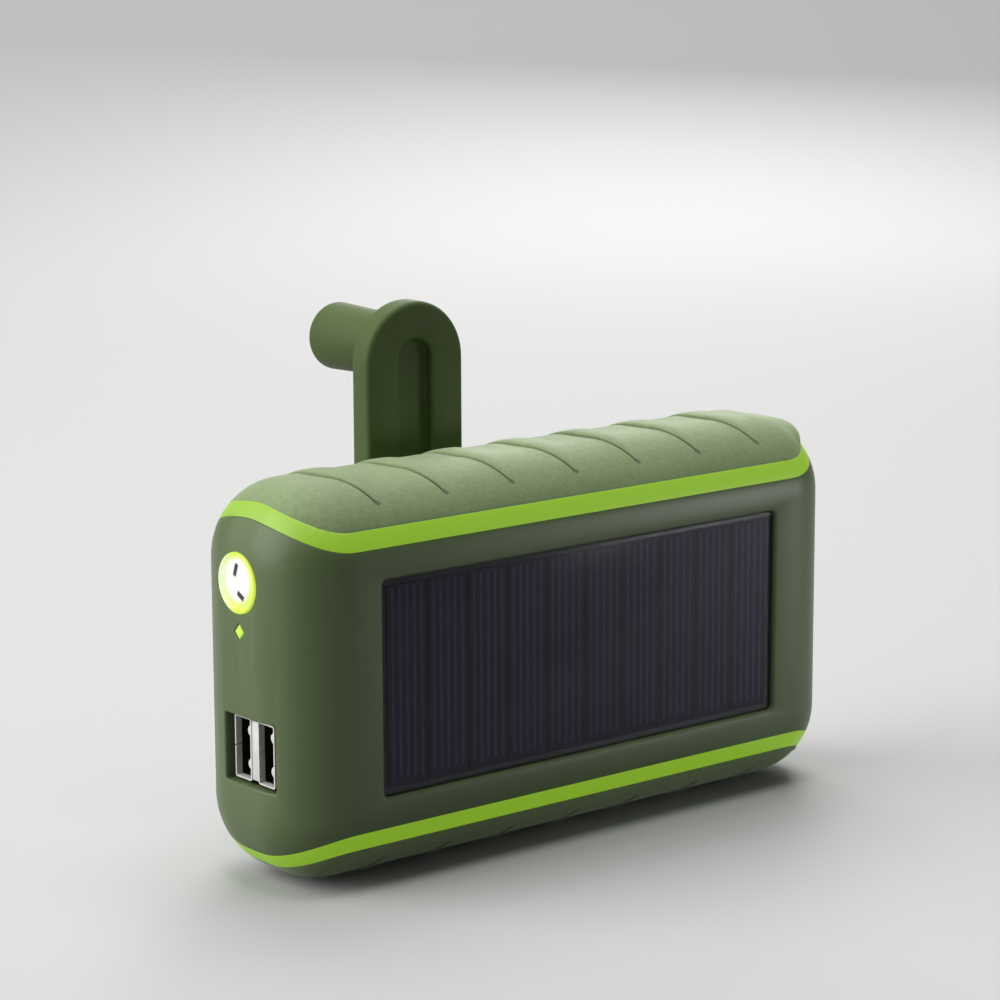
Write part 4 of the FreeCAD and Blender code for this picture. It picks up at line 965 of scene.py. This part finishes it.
def rib_rise(sizes, spot, along):
    """Height of a rib's surface over the grip, `along` from the rib's front end."""
    inner_y = sizes.rib_width / 2 - sizes.rib_corner
    inner_z = HALF_HEIGHT - sizes.rib_corner
    reach = math.hypot(max(0.0, abs(spot.y) - inner_y), spot.z - inner_z)
    land = sizes.rib_corner - reach
    lead = along - edge_lead(sizes, spot.y)
    step = min(1.0, max(0.0, lead / sizes.rib_step))
    step = math.sqrt(1 - (1 - step) ** 2)
    rise = land - max(0.0, along) * math.tan(sizes.rib_slope)
    flat_y = -CASE_FRONT - sizes.section_corner
    flat_z = HALF_HEIGHT - sizes.rib_height - sizes.section_corner
    turn = math.atan2(max(0.0, abs(spot.y) - flat_y), spot.z - flat_z)
    beyond = (turn - rib_end(sizes)) * sizes.section_corner
    groove = math.exp(-((lead + sizes.crease * 0.35) / (sizes.crease * 0.5)) ** 2)
    groove *= min(1.0, max(0.0, -beyond / (0.4 * MM)))
    return step * max(0.0, rise) - groove * sizes.crease * 0.7


def ribbed_skin(sizes):
    """The upper grip's skin, with its seven ribs pushed out of it."""
    bm = between_borders(sizes, (1, True), None)
    places = [sizes.rib_middle + count * sizes.rib_pitch for count in RIB_NUMBERS]
    end = -CASE_FRONT - sizes.section_corner + math.sin(rib_end(sizes)) * sizes.section_corner
    slice_mesh(bm, "Y", [side * (end + count * 0.15 * MM) for side in (-1, 1)
                         for count in range(-5, 6)])
    for vert in bm.verts:
        vert.co.x -= edge_lead(sizes, vert.co.y)
    slice_mesh(bm, "X", [place + offset * MM for place in places for offset in RIB_ROWS
                         if place + offset * MM < CASE_END - 6 * MM])
    for vert in bm.verts:
        vert.co.x += edge_lead(sizes, vert.co.y)
    bm.normal_update()
    moves = []
    for vert in bm.verts:
        rises = [rib_rise(sizes, vert.co, vert.co.x - place) for place in places]
        moves.append(max(rises, key=abs) * vert.normal)
    for vert, move in zip(bm.verts, moves):
        vert.co += move
    return bm


def to_height(bm, level=1):
    """Moves a form made about the case's middle to its real height, mirrored if level is -1."""
    if level < 0:
        bmesh.ops.scale(bm, vec=(1, 1, -1), verts=bm.verts)
        bmesh.ops.reverse_faces(bm, faces=bm.faces)
    bmesh.ops.translate(bm, vec=(0, 0, MIDDLE), verts=bm.verts)
    return bm


def screw_places():
    """Places of the four case screws, along and up."""
    low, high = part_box("case_screws")
    return [(x, z) for x in (low.x + SCREW_HEAD, high.x - SCREW_HEAD)
            for z in (low.z + SCREW_HEAD, high.z - SCREW_HEAD)]


def skin_pair(kind, node, slot, make, softness):
    """Makes the upper piece of a form and its mirrored lower one, both with their thickness."""
    sizes = bpy.context.scene.power_bank_case
    for place, side, level in (("upper", "top", 1), ("lower", "bottom", -1)):
        item = as_object(to_height(make(sizes), level), f"{place}_{kind}_skin")
        soften(thicken(item, sizes.grip_thick), softness)
        dress(item, "case", slot, f"{side}_{node}", angle=50.0)


# ---------------------------------------------------------------- operators

class POWERBANK_OT_grips(bpy.types.Operator):
    """Make both ribbed rubber grips"""
    bl_idname = "power_bank.grips"
    bl_label = "Rubber grips"

    def execute(self, context):
        skin_pair("grip", "grip", "olive_grip", ribbed_skin,
                  context.scene.power_bank_case.edge_softness)
        return {"FINISHED"}


class POWERBANK_OT_bands(bpy.types.Operator):
    """Make both lime accent bands"""
    bl_idname = "power_bank.bands"
    bl_label = "Accent bands"

    def execute(self, context):
        skin_pair("band", "accent_band", "lime_band",
                  lambda sizes: between_borders(sizes, (1, False), (1, True)),
                  context.scene.power_bank_case.edge_softness * 0.8)
        return {"FINISHED"}


class POWERBANK_OT_front_case(bpy.types.Operator):
    """Make the front tub with its recess, window and holes"""
    bl_idname = "power_bank.front_case"
    bl_label = "Front case"

    def execute(self, context):
        sizes = context.scene.power_bank_case
        ends = context.scene.power_bank_ends
        item = moulding(sizes, -1)
        item.name = "front_case_skin"
        combine(item, self.openings(sizes, ends), "DIFFERENCE")
        dress(item, "case", "olive_case", "front_case")
        return {"FINISHED"}

    def openings(self, sizes, ends):
        """The recess of the panel and the openings of both ends."""
        low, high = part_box("solar_cover")
        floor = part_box("solar_board")[1].y
        gap = Vector((sizes.panel_gap, 0, sizes.panel_gap))
        low, high = low - gap, high + gap
        panel = slab((low.x, CASE_FRONT - 5 * MM, low.z), (high.x, floor, high.z))
        round_edges(panel, edges_along(panel, "Y"), sizes.panel_corner, 6)
        flare(panel, "Y", CASE_FRONT, 1, sizes.panel_rim)
        window = slab((CASE_START - 2 * MM, ends.window_left, MIDDLE + ends.window_low),
                      (CASE_START + END_REACH, ends.window_right, MIDDLE + ends.window_high))
        round_edges(window, edges_along(window, "X"), 0.35 * MM, 3)
        slice_mesh(window, "Y", [count * 0.5 * MM for count in range(-21, 12)])
        flare(window, "X", CASE_START, 1, ends.lip, lambda spot: end_fall(sizes, spot))
        return [panel, window, *self.round_holes(ends), self.socket_hole(ends)]

    def round_holes(self, ends):
        """The holes of the torch, the indicator and the button."""
        holes = []
        for node, gap, steps in (("torch_bezel", 0.05 * MM, 96), ("indicator_lens", 0.08 * MM, 4)):
            middle = centre(node)
            hole = drum("X", CASE_START - OUTSIDE, CASE_START + END_REACH,
                        (middle.y, middle.z), half_span(node, "Z") + gap, steps)
            holes.append(flare(hole, "X", CASE_START, 1, ends.lip * 0.5))
        button = centre("power_button")
        across = button.y, button.z
        hole = drum("X", CASE_END - END_REACH, CASE_END + OUTSIDE, across, ends.button_hole, 96)
        flange_room = drum("X", CASE_END - END_REACH, CASE_END - 2.3 * MM, across,
                           ends.button_hole + 1.2 * MM, 96)
        return [*holes, flare(hole, "X", CASE_END, -1, ends.lip), flange_room]

    def socket_hole(self, ends):
        """The opening of the charging inlet."""
        low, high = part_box("micro_usb_socket")
        gap = ends.socket_gap
        hole = slab((CASE_END - END_REACH, low.y - gap, low.z - gap),
                    (CASE_END + OUTSIDE, high.y + gap, high.z + gap))
        round_edges(hole, edges_along(hole, "X"), 0.8 * MM, 5)
        return flare(hole, "X", CASE_END, -1, ends.lip)


class POWERBANK_OT_back_cover(bpy.types.Operator):
    """Make the back cover with the recess of the stowed arm"""
    bl_idname = "power_bank.back_cover"
    bl_label = "Back cover"

    def execute(self, context):
        sizes = context.scene.power_bank_case
        crank = context.scene.power_bank_crank
        item = moulding(sizes, 1)
        item.name = "back_cover_skin"
        combine(item, self.liners(crank), "UNION")
        combine(item, self.recesses(sizes, crank), "DIFFERENCE")
        dress(item, "case", "olive_case", "back_cover")
        return {"FINISHED"}

    def plan(self):
        """Middle of the hub, and heights of the stowed arm's round end and of its knob."""
        fold = 2 * centre("hinge_pin").z
        arm_end = span("crank_arm", "Z")[1] - half_span("crank_arm", "X")
        return centre("crank_shaft"), fold - arm_end, fold - centre("knob").z

    def lane(self, crank, grow, low, high):
        """The plan of the stowed arm's lane, grown, between two depths."""
        hub, end, _ = self.plan()
        half = half_span("crank_arm", "X") + crank.slot_gap + grow
        return round_ended(low, high, hub.x, half, hub.z, end)

    def liners(self, crank):
        """Walls of the lane, the well and the pocket, inside the cover."""
        hub, _, pocket = self.plan()
        inside = -CASE_FRONT - 1.5 * MM
        return [
            self.lane(crank, LINER_WALL, crank.dish_floor - LINER_WALL, inside),
            drum("Y", crank.well_floor - LINER_WALL, inside, (hub.x, hub.z),
                 crank.dish_radius + LINER_WALL, 96),
            drum("Y", crank.pocket_floor - LINER_WALL, crank.dish_floor, (hub.x, pocket),
                 crank.pocket_radius + LINER_WALL, 72),
        ]

    def recesses(self, sizes, crank):
        """The lane, the well, the pocket and the screws' sinks."""
        hub, _, pocket = self.plan()
        outside = -CASE_FRONT + 4 * MM
        holes = [self.lane(crank, 0.0, crank.dish_floor, outside),
                 drum("Y", crank.well_floor, outside, (hub.x, hub.z), crank.dish_radius, 96)]
        for x, z in screw_places():
            holes.append(drum("Y", -CASE_FRONT - 3 * MM, outside, (x, z), SCREW_SINK, 40))
        for hole in holes:
            flare(hole, "Y", -CASE_FRONT, -1, sizes.edge_softness * 0.8,
                  lambda spot: back_fall(sizes, spot))
        knob_hole = drum("Y", crank.pocket_floor, outside, (hub.x, pocket),
                         crank.pocket_radius, 72)
        return [*holes, flare(knob_hole, "Y", crank.dish_floor, -1, 0.5 * MM)]


class POWERBANK_OT_solar_panel(bpy.types.Operator):
    """Make the solar panel's clear cover"""
    bl_idname = "power_bank.solar_panel"
    bl_label = "Solar panel"

    def execute(self, context):
        sizes = context.scene.power_bank_case
        low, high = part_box("solar_cover")
        bm = slab(low, high)
        round_edges(bm, edges_along(bm, "Y"), sizes.panel_corner, 6)
        round_edges(bm, edges_at(bm, "Y", low.y), 0.2 * MM, 3)
        dress(as_object(bm, "panel_cover"), "case", "clear_resin", "solar_cover")
        return {"FINISHED"}


class POWERBANK_OT_torch(bpy.types.Operator):
    """Make the torch's bezel and lens, and the charge indicator"""
    bl_idname = "power_bank.torch"
    bl_label = "Torch and indicator"

    def execute(self, context):
        ends = context.scene.power_bank_ends
        start, end = span("torch_bezel", "X")
        outer = half_span("torch_bezel", "Z")
        middle = centre("torch_bezel")
        across = (middle.y, middle.z)
        inner = ends.bezel_bore
        profile = [(inner, end), (inner, start + 0.5 * MM), (inner + 0.45 * MM, start),
                   (outer, start), (outer, end), (inner, end)]
        ring = turned("X", across, profile, 96, ((3, 0.45 * MM, 5),))
        dress(as_object(ring, "torch_ring"), "case", "lime_clear", "torch_bezel")
        lens_start, lens_end = span("torch_lens", "X")
        dome = [(0.0, lens_start), (inner * 0.35, lens_start + 0.05 * MM),
                (inner * 0.7, lens_start + 0.25 * MM), (inner, lens_start + 0.6 * MM),
                (inner, lens_end), (0.0, lens_end)]
        dress(as_object(turned("X", across, dome, 72), "torch_glass"), "case", "torch_lens",
              "torch_lens")
        mark = centre("indicator_lens")
        face = CASE_START + 0.05 * MM
        prism = drum("X", face, span("indicator_lens", "X")[1], (mark.y, mark.z),
                     half_span("indicator_lens", "Z"), 4)
        round_edges(prism, edges_at(prism, "X", face), 0.3 * MM, 3)
        item = dress(as_object(prism, "charge_mark"), "case", "lime_clear", "indicator_lens")
        item.data.materials[0] = lime_mark("lime_mark")
        return {"FINISHED"}


class POWERBANK_OT_usb_ports(bpy.types.Operator):
    """Make the sheet shells, tongues and spring tabs of the two USB-A ports"""
    bl_idname = "power_bank.usb_ports"
    bl_label = "USB ports"

    def execute(self, context):
        wall = context.scene.power_bank_ends.shell_wall
        low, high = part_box("usb_shells")
        shells = bmesh.new()
        tongues = bmesh.new()
        for near in (low.y, high.y - SHELL_WIDTH):
            self.shell(shells, wall, low, high, near)
            self.tongue(tongues, wall, low, high, near)
        self.divider(shells, low, high)
        item = dress(as_object(shells, "port_shells"), "case", "steel", "usb_shells")
        item.data.materials[0] = tinned_sheet("tinned_sheet")
        dress(as_object(tongues, "port_tongues"), "case", "black_plastic", "usb_tongues")
        return {"FINISHED"}

    def sleeve(self, bm, rounding, wall, name):
        """A thin open tube along X from a block; `rounding` is a radius and its steps."""
        round_edges(bm, edges_along(bm, "X"), *rounding)
        bmesh.ops.delete(bm, geom=[face for face in bm.faces if abs(face.normal.x) > 0.9],
                         context="FACES")
        return thicken(as_object(bm, name), wall)

    def shell(self, target, wall, low, high, near):
        """One shell: a folded sheet tube with two spring tabs in its near wall."""
        far = near + SHELL_WIDTH
        tube = self.sleeve(slab((low.x, near, low.z), (high.x, far, high.z)), (0.55 * MM, 4),
                           wall, "tube")
        seam = slab((low.x - 1 * MM, far - 1 * MM, (low.z + high.z) / 2 - 0.14 * MM),
                    (low.x + 3 * MM, far + 1 * MM, (low.z + high.z) / 2 + 0.14 * MM))
        pour(target, combine(tube, [seam], "DIFFERENCE"))
        for rise in TAB_HEIGHTS:
            spot = (near + wall * 0.5, low.z + (high.z - low.z) * (1 - rise))
            start = low.x + 0.06 * MM
            tab = drum("X", start, low.x + 2.6 * MM, spot, TAB_RADIUS, 32)
            round_edges(tab, edges_at(tab, "X", start), 0.25 * MM, 3)
            keep_side(tab, "Y", near + wall * 0.8, 1)
            close_rim(tab)
            pour(target, as_object(tab, "tab"))

    def divider(self, target, low, high):
        """The folded sheet that closes the gap between both shells at their mouths."""
        face = low.x + 0.15 * MM
        plate = slab((face, low.y + SHELL_WIDTH + TINY, low.z + 0.35 * MM),
                     (low.x + 0.6 * MM, high.y - SHELL_WIDTH - TINY, high.z - 0.35 * MM))
        round_edges(plate, edges_at(plate, "X", face), 0.12 * MM, 2)
        pour(target, as_object(plate, "plate"))

    def tongue(self, target, wall, low, high, near):
        """One tongue, the block that holds it at the back of the shell, and a thin black sleeve of
        painted shade inside the shell.
        """
        inner_near, inner_far = near + wall, near + SHELL_WIDTH - wall
        start, back = low.x + TONGUE_SETBACK, high.x - TONGUE_BASE
        # Painted shade: a black sleeve lines the shell from 1.4 mm behind its mouth, where the
        # port's inside lies in shade.
        shade_sleeve = slab((low.x + 1.4 * MM, inner_near + TINY, low.z + wall + TINY),
                     (back, inner_far - TINY, high.z - wall - TINY))
        pour(target, self.sleeve(shade_sleeve, (0.2 * MM, 3), 0.18 * MM, "shade_lining"))
        blade = slab((start, inner_near + 0.2 * MM, low.z + 1.0 * MM),
                     (high.x, inner_near + 1.9 * MM, high.z - 1.0 * MM))
        round_edges(blade, edges_at(blade, "X", start), 0.3 * MM, 3)
        base = slab((back, inner_near, low.z + wall), (high.x, inner_far, high.z - wall))
        for form in (blade, base):
            pour(target, as_object(form, "part"))


class POWERBANK_OT_controls(bpy.types.Operator):
    """Make the power button and the charging inlet of the other end"""
    bl_idname = "power_bank.controls"
    bl_label = "Button and inlet"

    def execute(self, context):
        low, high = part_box("power_button")
        middle = centre("power_button")
        shoulder = low.x + FLANGE_HEIGHT
        profile = [(0.0, low.x), (BUTTON_FLANGE, low.x), (BUTTON_FLANGE, shoulder),
                   (BUTTON_RADIUS, shoulder), (BUTTON_RADIUS, high.x - 0.25 * MM),
                   (BUTTON_RADIUS * 0.6, high.x - 0.05 * MM), (0.0, high.x)]
        cap = turned("X", (middle.y, middle.z), profile, 72, ((4, 0.6 * MM, 5),))
        dress(as_object(cap, "button_cap"), "button", "olive_grip", "power_button")
        low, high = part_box("micro_usb_socket")
        shell = slab(low, high)
        round_edges(shell, [edge for edge in edges_along(shell, "X")
                            if edge.verts[0].co.z < centre("micro_usb_socket").z], 0.9 * MM, 5)
        bmesh.ops.delete(shell, geom=[face for face in shell.faces if face.normal.x > 0.9],
                         context="FACES")
        item = thicken(as_object(shell, "inlet_shell"), 0.3 * MM)
        tongue = slab((high.x - 5.5 * MM, -2.1 * MM, high.z - 1.5 * MM),
                      (high.x - 0.8 * MM, 2.1 * MM, high.z - 0.8 * MM))
        combine(item, [tongue], "UNION")
        dress(item, "case", "steel", "micro_usb_socket")
        return {"FINISHED"}


class POWERBANK_OT_crank_arm(bpy.types.Operator):
    """Make the crank's arm with its groove, hinge root and post"""
    bl_idname = "power_bank.crank_arm"
    bl_label = "Crank arm"

    def execute(self, context):
        sizes = context.scene.power_bank_crank
        item = as_object(self.bar(sizes), "crank_arm_body")
        combine(item, self.root(sizes), "UNION")
        combine(item, self.hollows(sizes), "DIFFERENCE")
        self.round_groove(sizes, item)
        dress(item, "arm", "olive_crank", "crank_arm")
        return {"FINISHED"}

    def foot(self):
        """Height of the arm's square lower end."""
        return centre("hinge_pin").z + ARM_FOOT

    def bar(self, sizes):
        """The arm's round-topped plate."""
        half = half_span("crank_arm", "X")
        bar = round_ended(ARM_FRONT, ARM_BACK, centre("crank_arm").x, half, self.foot(),
                          span("crank_arm", "Z")[1] - half)
        outline = [edge for edge in bar.edges if not runs_along(edge, "Y")
                   and (lies_at(edge, "Y", ARM_FRONT) or lies_at(edge, "Y", ARM_BACK))]
        round_edges(bar, outline, sizes.arm_edge, 5)
        return bar

    def root(self, sizes):
        """The block and the barrel round the hinge pin, and the knob's post."""
        middle, pin = centre("crank_arm").x, centre("hinge_pin")
        start, end = middle - sizes.root_half, middle + sizes.root_half
        block = slab((start, ARM_FRONT, pin.z - 2 * MM), (end, ARM_BACK, self.foot() + 3 * MM))
        barrel = drum("X", start, end, (pin.y, pin.z), sizes.root_radius, 48)
        post = drum("Y", ARM_BACK - 1 * MM, span("crank_arm", "Y")[1],
                    (middle, centre("knob").z), sizes.post_radius)
        return [block, barrel, post]

    def hollows(self, sizes):
        """The groove of the front face and the pin's hole."""
        middle, pin = centre("crank_arm").x, centre("hinge_pin")
        half, floor = sizes.groove_half, ARM_FRONT + sizes.groove_depth
        groove = slab((middle - half, ARM_FRONT - 2 * MM, self.foot() + sizes.groove_start - half),
                      (middle + half, floor,
                       span("crank_arm", "Z")[1] - sizes.groove_end + half))
        round_edges(groove, edges_along(groove, "Y"), half * FULL_ROUND, 20)
        round_edges(groove, edges_at(groove, "Y", floor), sizes.groove_edge, 4)
        pin_hole = drum("X", middle - 20 * MM, middle + 20 * MM, (pin.y, pin.z), PIN_HOLE, 40)
        return [groove, pin_hole]

    def round_groove(self, sizes, item):
        """Rounds the rim of the groove in the finished arm."""
        middle, reach = centre("crank_arm").x, sizes.groove_half + TINY * 100
        bm = bmesh.new()
        bm.from_mesh(item.data)
        rim = [edge for edge in edges_at(bm, "Y", ARM_FRONT)
               if all(abs(vert.co.x - middle) < reach and vert.co.z > self.foot() + 1 * MM
                      for vert in edge.verts)
               and edge.calc_face_angle(0.0) > math.radians(30)]
        round_edges(bm, rim, sizes.groove_edge, 4)
        bm.to_mesh(item.data)
        bm.free()


class POWERBANK_OT_knob(bpy.types.Operator):
    """Make the turning knob and its cap"""
    bl_idname = "power_bank.knob"
    bl_label = "Knob"

    def execute(self, context):
        sizes = context.scene.power_bank_crank
        low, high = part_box("knob")
        middle = centre("knob")
        bore = sizes.post_radius + 0.05 * MM
        cap_radius = half_span("knob_cap", "X")
        profile = [(bore, low.y), (sizes.knob_root, low.y), (sizes.knob_tip, high.y),
                   (cap_radius, high.y), (cap_radius, high.y - CAP_DEPTH),
                   (bore, high.y - CAP_DEPTH), (bore, low.y)]
        knob = turned("Y", (middle.x, middle.z), profile, 96,
                      ((1, 0.5 * MM, 3), (2, sizes.knob_rounding, 8)))
        dress(as_object(knob, "knob_body"), "knob", "olive_crank", "knob")
        start, end = span("knob_cap", "Y")
        radius, end = cap_radius - 0.05 * MM, end - 0.05 * MM
        cap = [(0.0, start), (radius, start), (radius, end), (0.0, end)]
        disc = turned("Y", (middle.x, middle.z), cap, 72, ((2, 0.25 * MM, 3),))
        dress(as_object(disc, "knob_end_cap"), "knob", "olive_crank", "knob_cap")
        return {"FINISHED"}


class POWERBANK_OT_hub(bpy.types.Operator):
    """Make the crank's hub and its hinge pin"""
    bl_idname = "power_bank.hub"
    bl_label = "Crank hub"

    def execute(self, context):
        hub = centre("crank_shaft")
        pin = centre("hinge_pin")
        profile = [(0.0, HUB_BACK), (HUB_RADIUS, HUB_BACK), (HUB_RADIUS, HUB_FACE),
                   (0.0, HUB_FACE)]
        disc = turned("Y", (hub.x, hub.z), profile, 120, ((2, 0.4 * MM, 3),))
        item = as_object(disc, "crank_hub_body")
        lugs = [self.lug(hub.x + start, hub.x + end, pin) for start, end in LUG_SPANS]
        combine(item, lugs, "UNION")
        dress(item, "crank", "olive_crank", "crank_hub")
        start, end = span("hinge_pin", "X")
        line = [(0.0, start), (PIN_RADIUS, start), (PIN_RADIUS, end), (0.0, end)]
        rod = turned("X", (pin.y, pin.z), line, 32, ((1, 0.3 * MM, 3), (2, 0.3 * MM, 3)))
        dress(as_object(rod, "hinge_rod"), "crank", "steel", "hinge_pin")
        return {"FINISHED"}

    def lug(self, start, end, pin):
        """One of the two lugs that hold the hinge pin, with a round top."""
        lug = slab((start, LUG_ROOT, pin.z - LUG_HALF), (end, pin.y + LUG_HALF, pin.z + LUG_HALF))
        top = [edge for edge in edges_along(lug, "X") if edge.verts[0].co.y > pin.y]
        round_edges(lug, top, LUG_HALF * FULL_ROUND, 10)
        sides = [edge for edge in lug.edges if not runs_along(edge, "X")
                 and (lies_at(edge, "X", start) or lies_at(edge, "X", end))]
        round_edges(lug, sides, 0.3 * MM, 2)
        return lug


class POWERBANK_OT_screws(bpy.types.Operator):
    """Make the four cross-headed screws of the back"""
    bl_idname = "power_bank.screws"
    bl_label = "Case screws"

    def execute(self, context):
        foot, face = span("case_screws", "Y")
        neck = face - SCREW_HEAD_HEIGHT
        profile = [(0.0, foot), (SCREW_SHANK, foot), (SCREW_SHANK, neck), (SCREW_HEAD, neck),
                   (SCREW_HEAD, face), (0.0, face)]
        target = bmesh.new()
        for x, z in screw_places():
            item = as_object(turned("Y", (x, z), profile, 40, ((4, 0.7 * MM, 5),)), "screw")
            cross = [slab((x - along, face - CROSS_DEPTH, z - up),
                          (x + along, face + 1 * MM, z + up))
                     for along, up in ((CROSS_LENGTH, CROSS_WIDTH), (CROSS_WIDTH, CROSS_LENGTH))]
            pour(target, combine(item, cross, "DIFFERENCE"))
        dress(as_object(target, "cover_screws"), "case", "steel", "case_screws")
        return {"FINISHED"}


class POWERBANK_OT_inner_parts(bpy.types.Operator):
    """Give every fixed part that still shows its finish"""
    bl_idname = "power_bank.inner_parts"
    bl_label = "Inner parts"

    def execute(self, context):
        slots = {part["node"]: part["material_slot"] for part in frame["record"]["subparts"]}
        for name, item in frame["nodes"].items():
            for place in item.material_slots:
                place.material = FINISHES[slots[name]]
        return {"FINISHED"}


class POWERBANK_OT_stage(bpy.types.Operator):
    """Set the floor, the backdrop, the lamps and the camera"""
    bl_idname = "power_bank.stage"
    bl_label = "Stage"

    def execute(self, context):
        self.floor(context.scene.power_bank_finishes.floor)
        self.lamps(context)
        self.camera(context)
        context.scene.view_settings.view_transform = "Standard"
        return {"FINISHED"}

    def floor(self, shade_of_floor):
        """A wide floor that curves up into a backdrop behind the object."""
        azimuth, half_width, bend = math.radians(39.2), 4, 1.2
        away = Vector((math.sin(azimuth), math.cos(azimuth), 0))
        side = Vector((away.y, -away.x, 0))
        bm = bmesh.new()
        profile = [(-3.0, 0.0), (2.2, 0.0), (2.2, 3.2)]
        verts = chain(bm, [away * far + Vector((0, 0, rise)) - side * half_width
                           for far, rise in profile])
        round_corner(bm, verts[1], bend, 24)
        made = bmesh.ops.extrude_edge_only(bm, edges=bm.edges[:])
        moved = [part for part in made["geom"] if isinstance(part, bmesh.types.BMVert)]
        bmesh.ops.translate(bm, vec=side * 2 * half_width, verts=moved)
        bmesh.ops.recalc_face_normals(bm, faces=bm.faces)
        item = as_object(bm, "studio_floor")
        item.data.materials.append(backdrop_paint("studio_paint", shade_of_floor))
        item.data.shade_smooth()

    def lamps(self, context):
        """A soft key from the left, lamps above and behind, and a low narrow fill."""
        # Sizes are in metres, powers in watts and spreads in degrees.
        for name, spot, aim, size, power, spread in (
                ("key", (-1.25, 0.55, 0.75), (0, 0, 0.05), 1.6, 30.0, 180),
                ("top", (0.1, 0.0, 1.0), (0, 0, 0.05), 0.7, 6.0, 180),
                ("back", (1.0, 1.3, 2.0), (0.8, 1.0, 0), 1.6, 32.0, 180),
                ("rim", (0.9, 0.9, 0.5), (0, 0, 0.1), 0.4, 4.0, 180),
                ("fill", (0.4, -0.32, 0.03), (0.08, -0.02, 0.02), 0.16, 0.022, 20)):
            data = bpy.data.lights.new(name, "AREA")
            data.energy = power
            data.size = size
            data.spread = math.radians(spread)
            lamp = bpy.data.objects.new(name, data)
            lamp.location = spot
            way = Vector(aim) - Vector(spot)
            lamp.rotation_euler = way.to_track_quat("-Z", "Y").to_euler()
            context.scene.collection.objects.link(lamp)
        world = bpy.data.worlds.new("studio_world")
        world.use_nodes = True
        ground = world.node_tree.nodes["Background"]
        ground.inputs["Color"].default_value = (0.9, 0.92, 0.95, 1.0)
        ground.inputs["Strength"].default_value = 0.1
        context.scene.world = world

    def camera(self, context):
        """The camera: its target, its distance and its angles, in the object's frame."""
        azimuth, rise, roll = (math.radians(angle) for angle in (-39.236, 11.318, -0.231))
        distance = 0.6863
        focal, sensor = 116.7, 36.0
        target = Vector((-7.63 * MM, 0.0, 71.65 * MM))
        back = Vector((math.sin(azimuth) * math.cos(rise), -math.cos(azimuth) * math.cos(rise),
                       math.sin(rise)))
        data = bpy.data.cameras.new("studio_camera")
        data.lens = focal
        data.sensor_width = sensor
        data.clip_start = 0.01
        item = bpy.data.objects.new("studio_camera", data)
        turn = back.to_track_quat("Z", "Y").to_matrix().to_4x4() @ Matrix.Rotation(roll, 4, "Z")
        item.matrix_world = Matrix.Translation(target + back * distance) @ turn
        context.scene.collection.objects.link(item)
        context.scene.camera = item


class POWERBANK_PT_panel(bpy.types.Panel):
    """The operators that make the power bank"""
    bl_label = "Power Bank"
    bl_idname = "POWERBANK_PT_panel"
    bl_space_type = "VIEW_3D"
    bl_region_type = "UI"
    bl_category = "Power Bank"

    def draw(self, context):
        for operator in OPERATORS:
            self.layout.operator(operator.bl_idname)


OPERATORS = (POWERBANK_OT_stage, POWERBANK_OT_inner_parts, POWERBANK_OT_front_case,
             POWERBANK_OT_back_cover, POWERBANK_OT_grips, POWERBANK_OT_bands,
             POWERBANK_OT_solar_panel, POWERBANK_OT_torch, POWERBANK_OT_usb_ports,
             POWERBANK_OT_controls, POWERBANK_OT_crank_arm, POWERBANK_OT_knob,
             POWERBANK_OT_hub, POWERBANK_OT_screws)
GROUPS = {"power_bank_case": CaseSizes, "power_bank_crank": CrankSizes,
          "power_bank_ends": EndSizes, "power_bank_finishes": Finishes}


def register():
    """Registers the classes and hangs the settings on the scene."""
    for group in (*GROUPS.values(), *OPERATORS, POWERBANK_PT_panel):
        bpy.utils.register_class(group)
    for name, group in GROUPS.items():
        setattr(bpy.types.Scene, name, PointerProperty(type=group))


def unregister():
    """Takes the settings and the classes away again."""
    for name in GROUPS:
        delattr(bpy.types.Scene, name)
    for group in reversed((*GROUPS.values(), *OPERATORS, POWERBANK_PT_panel)):
        bpy.utils.unregister_class(group)


def main():
    """Makes the whole power bank."""
    register()
    FINISHES.update(make_finishes())
    for operator in OPERATORS:
        name = operator.bl_idname.split(".")[1]
        getattr(bpy.ops.power_bank, name)()
    bpy.context.view_layer.update()


if __name__ == "__main__":
    main()
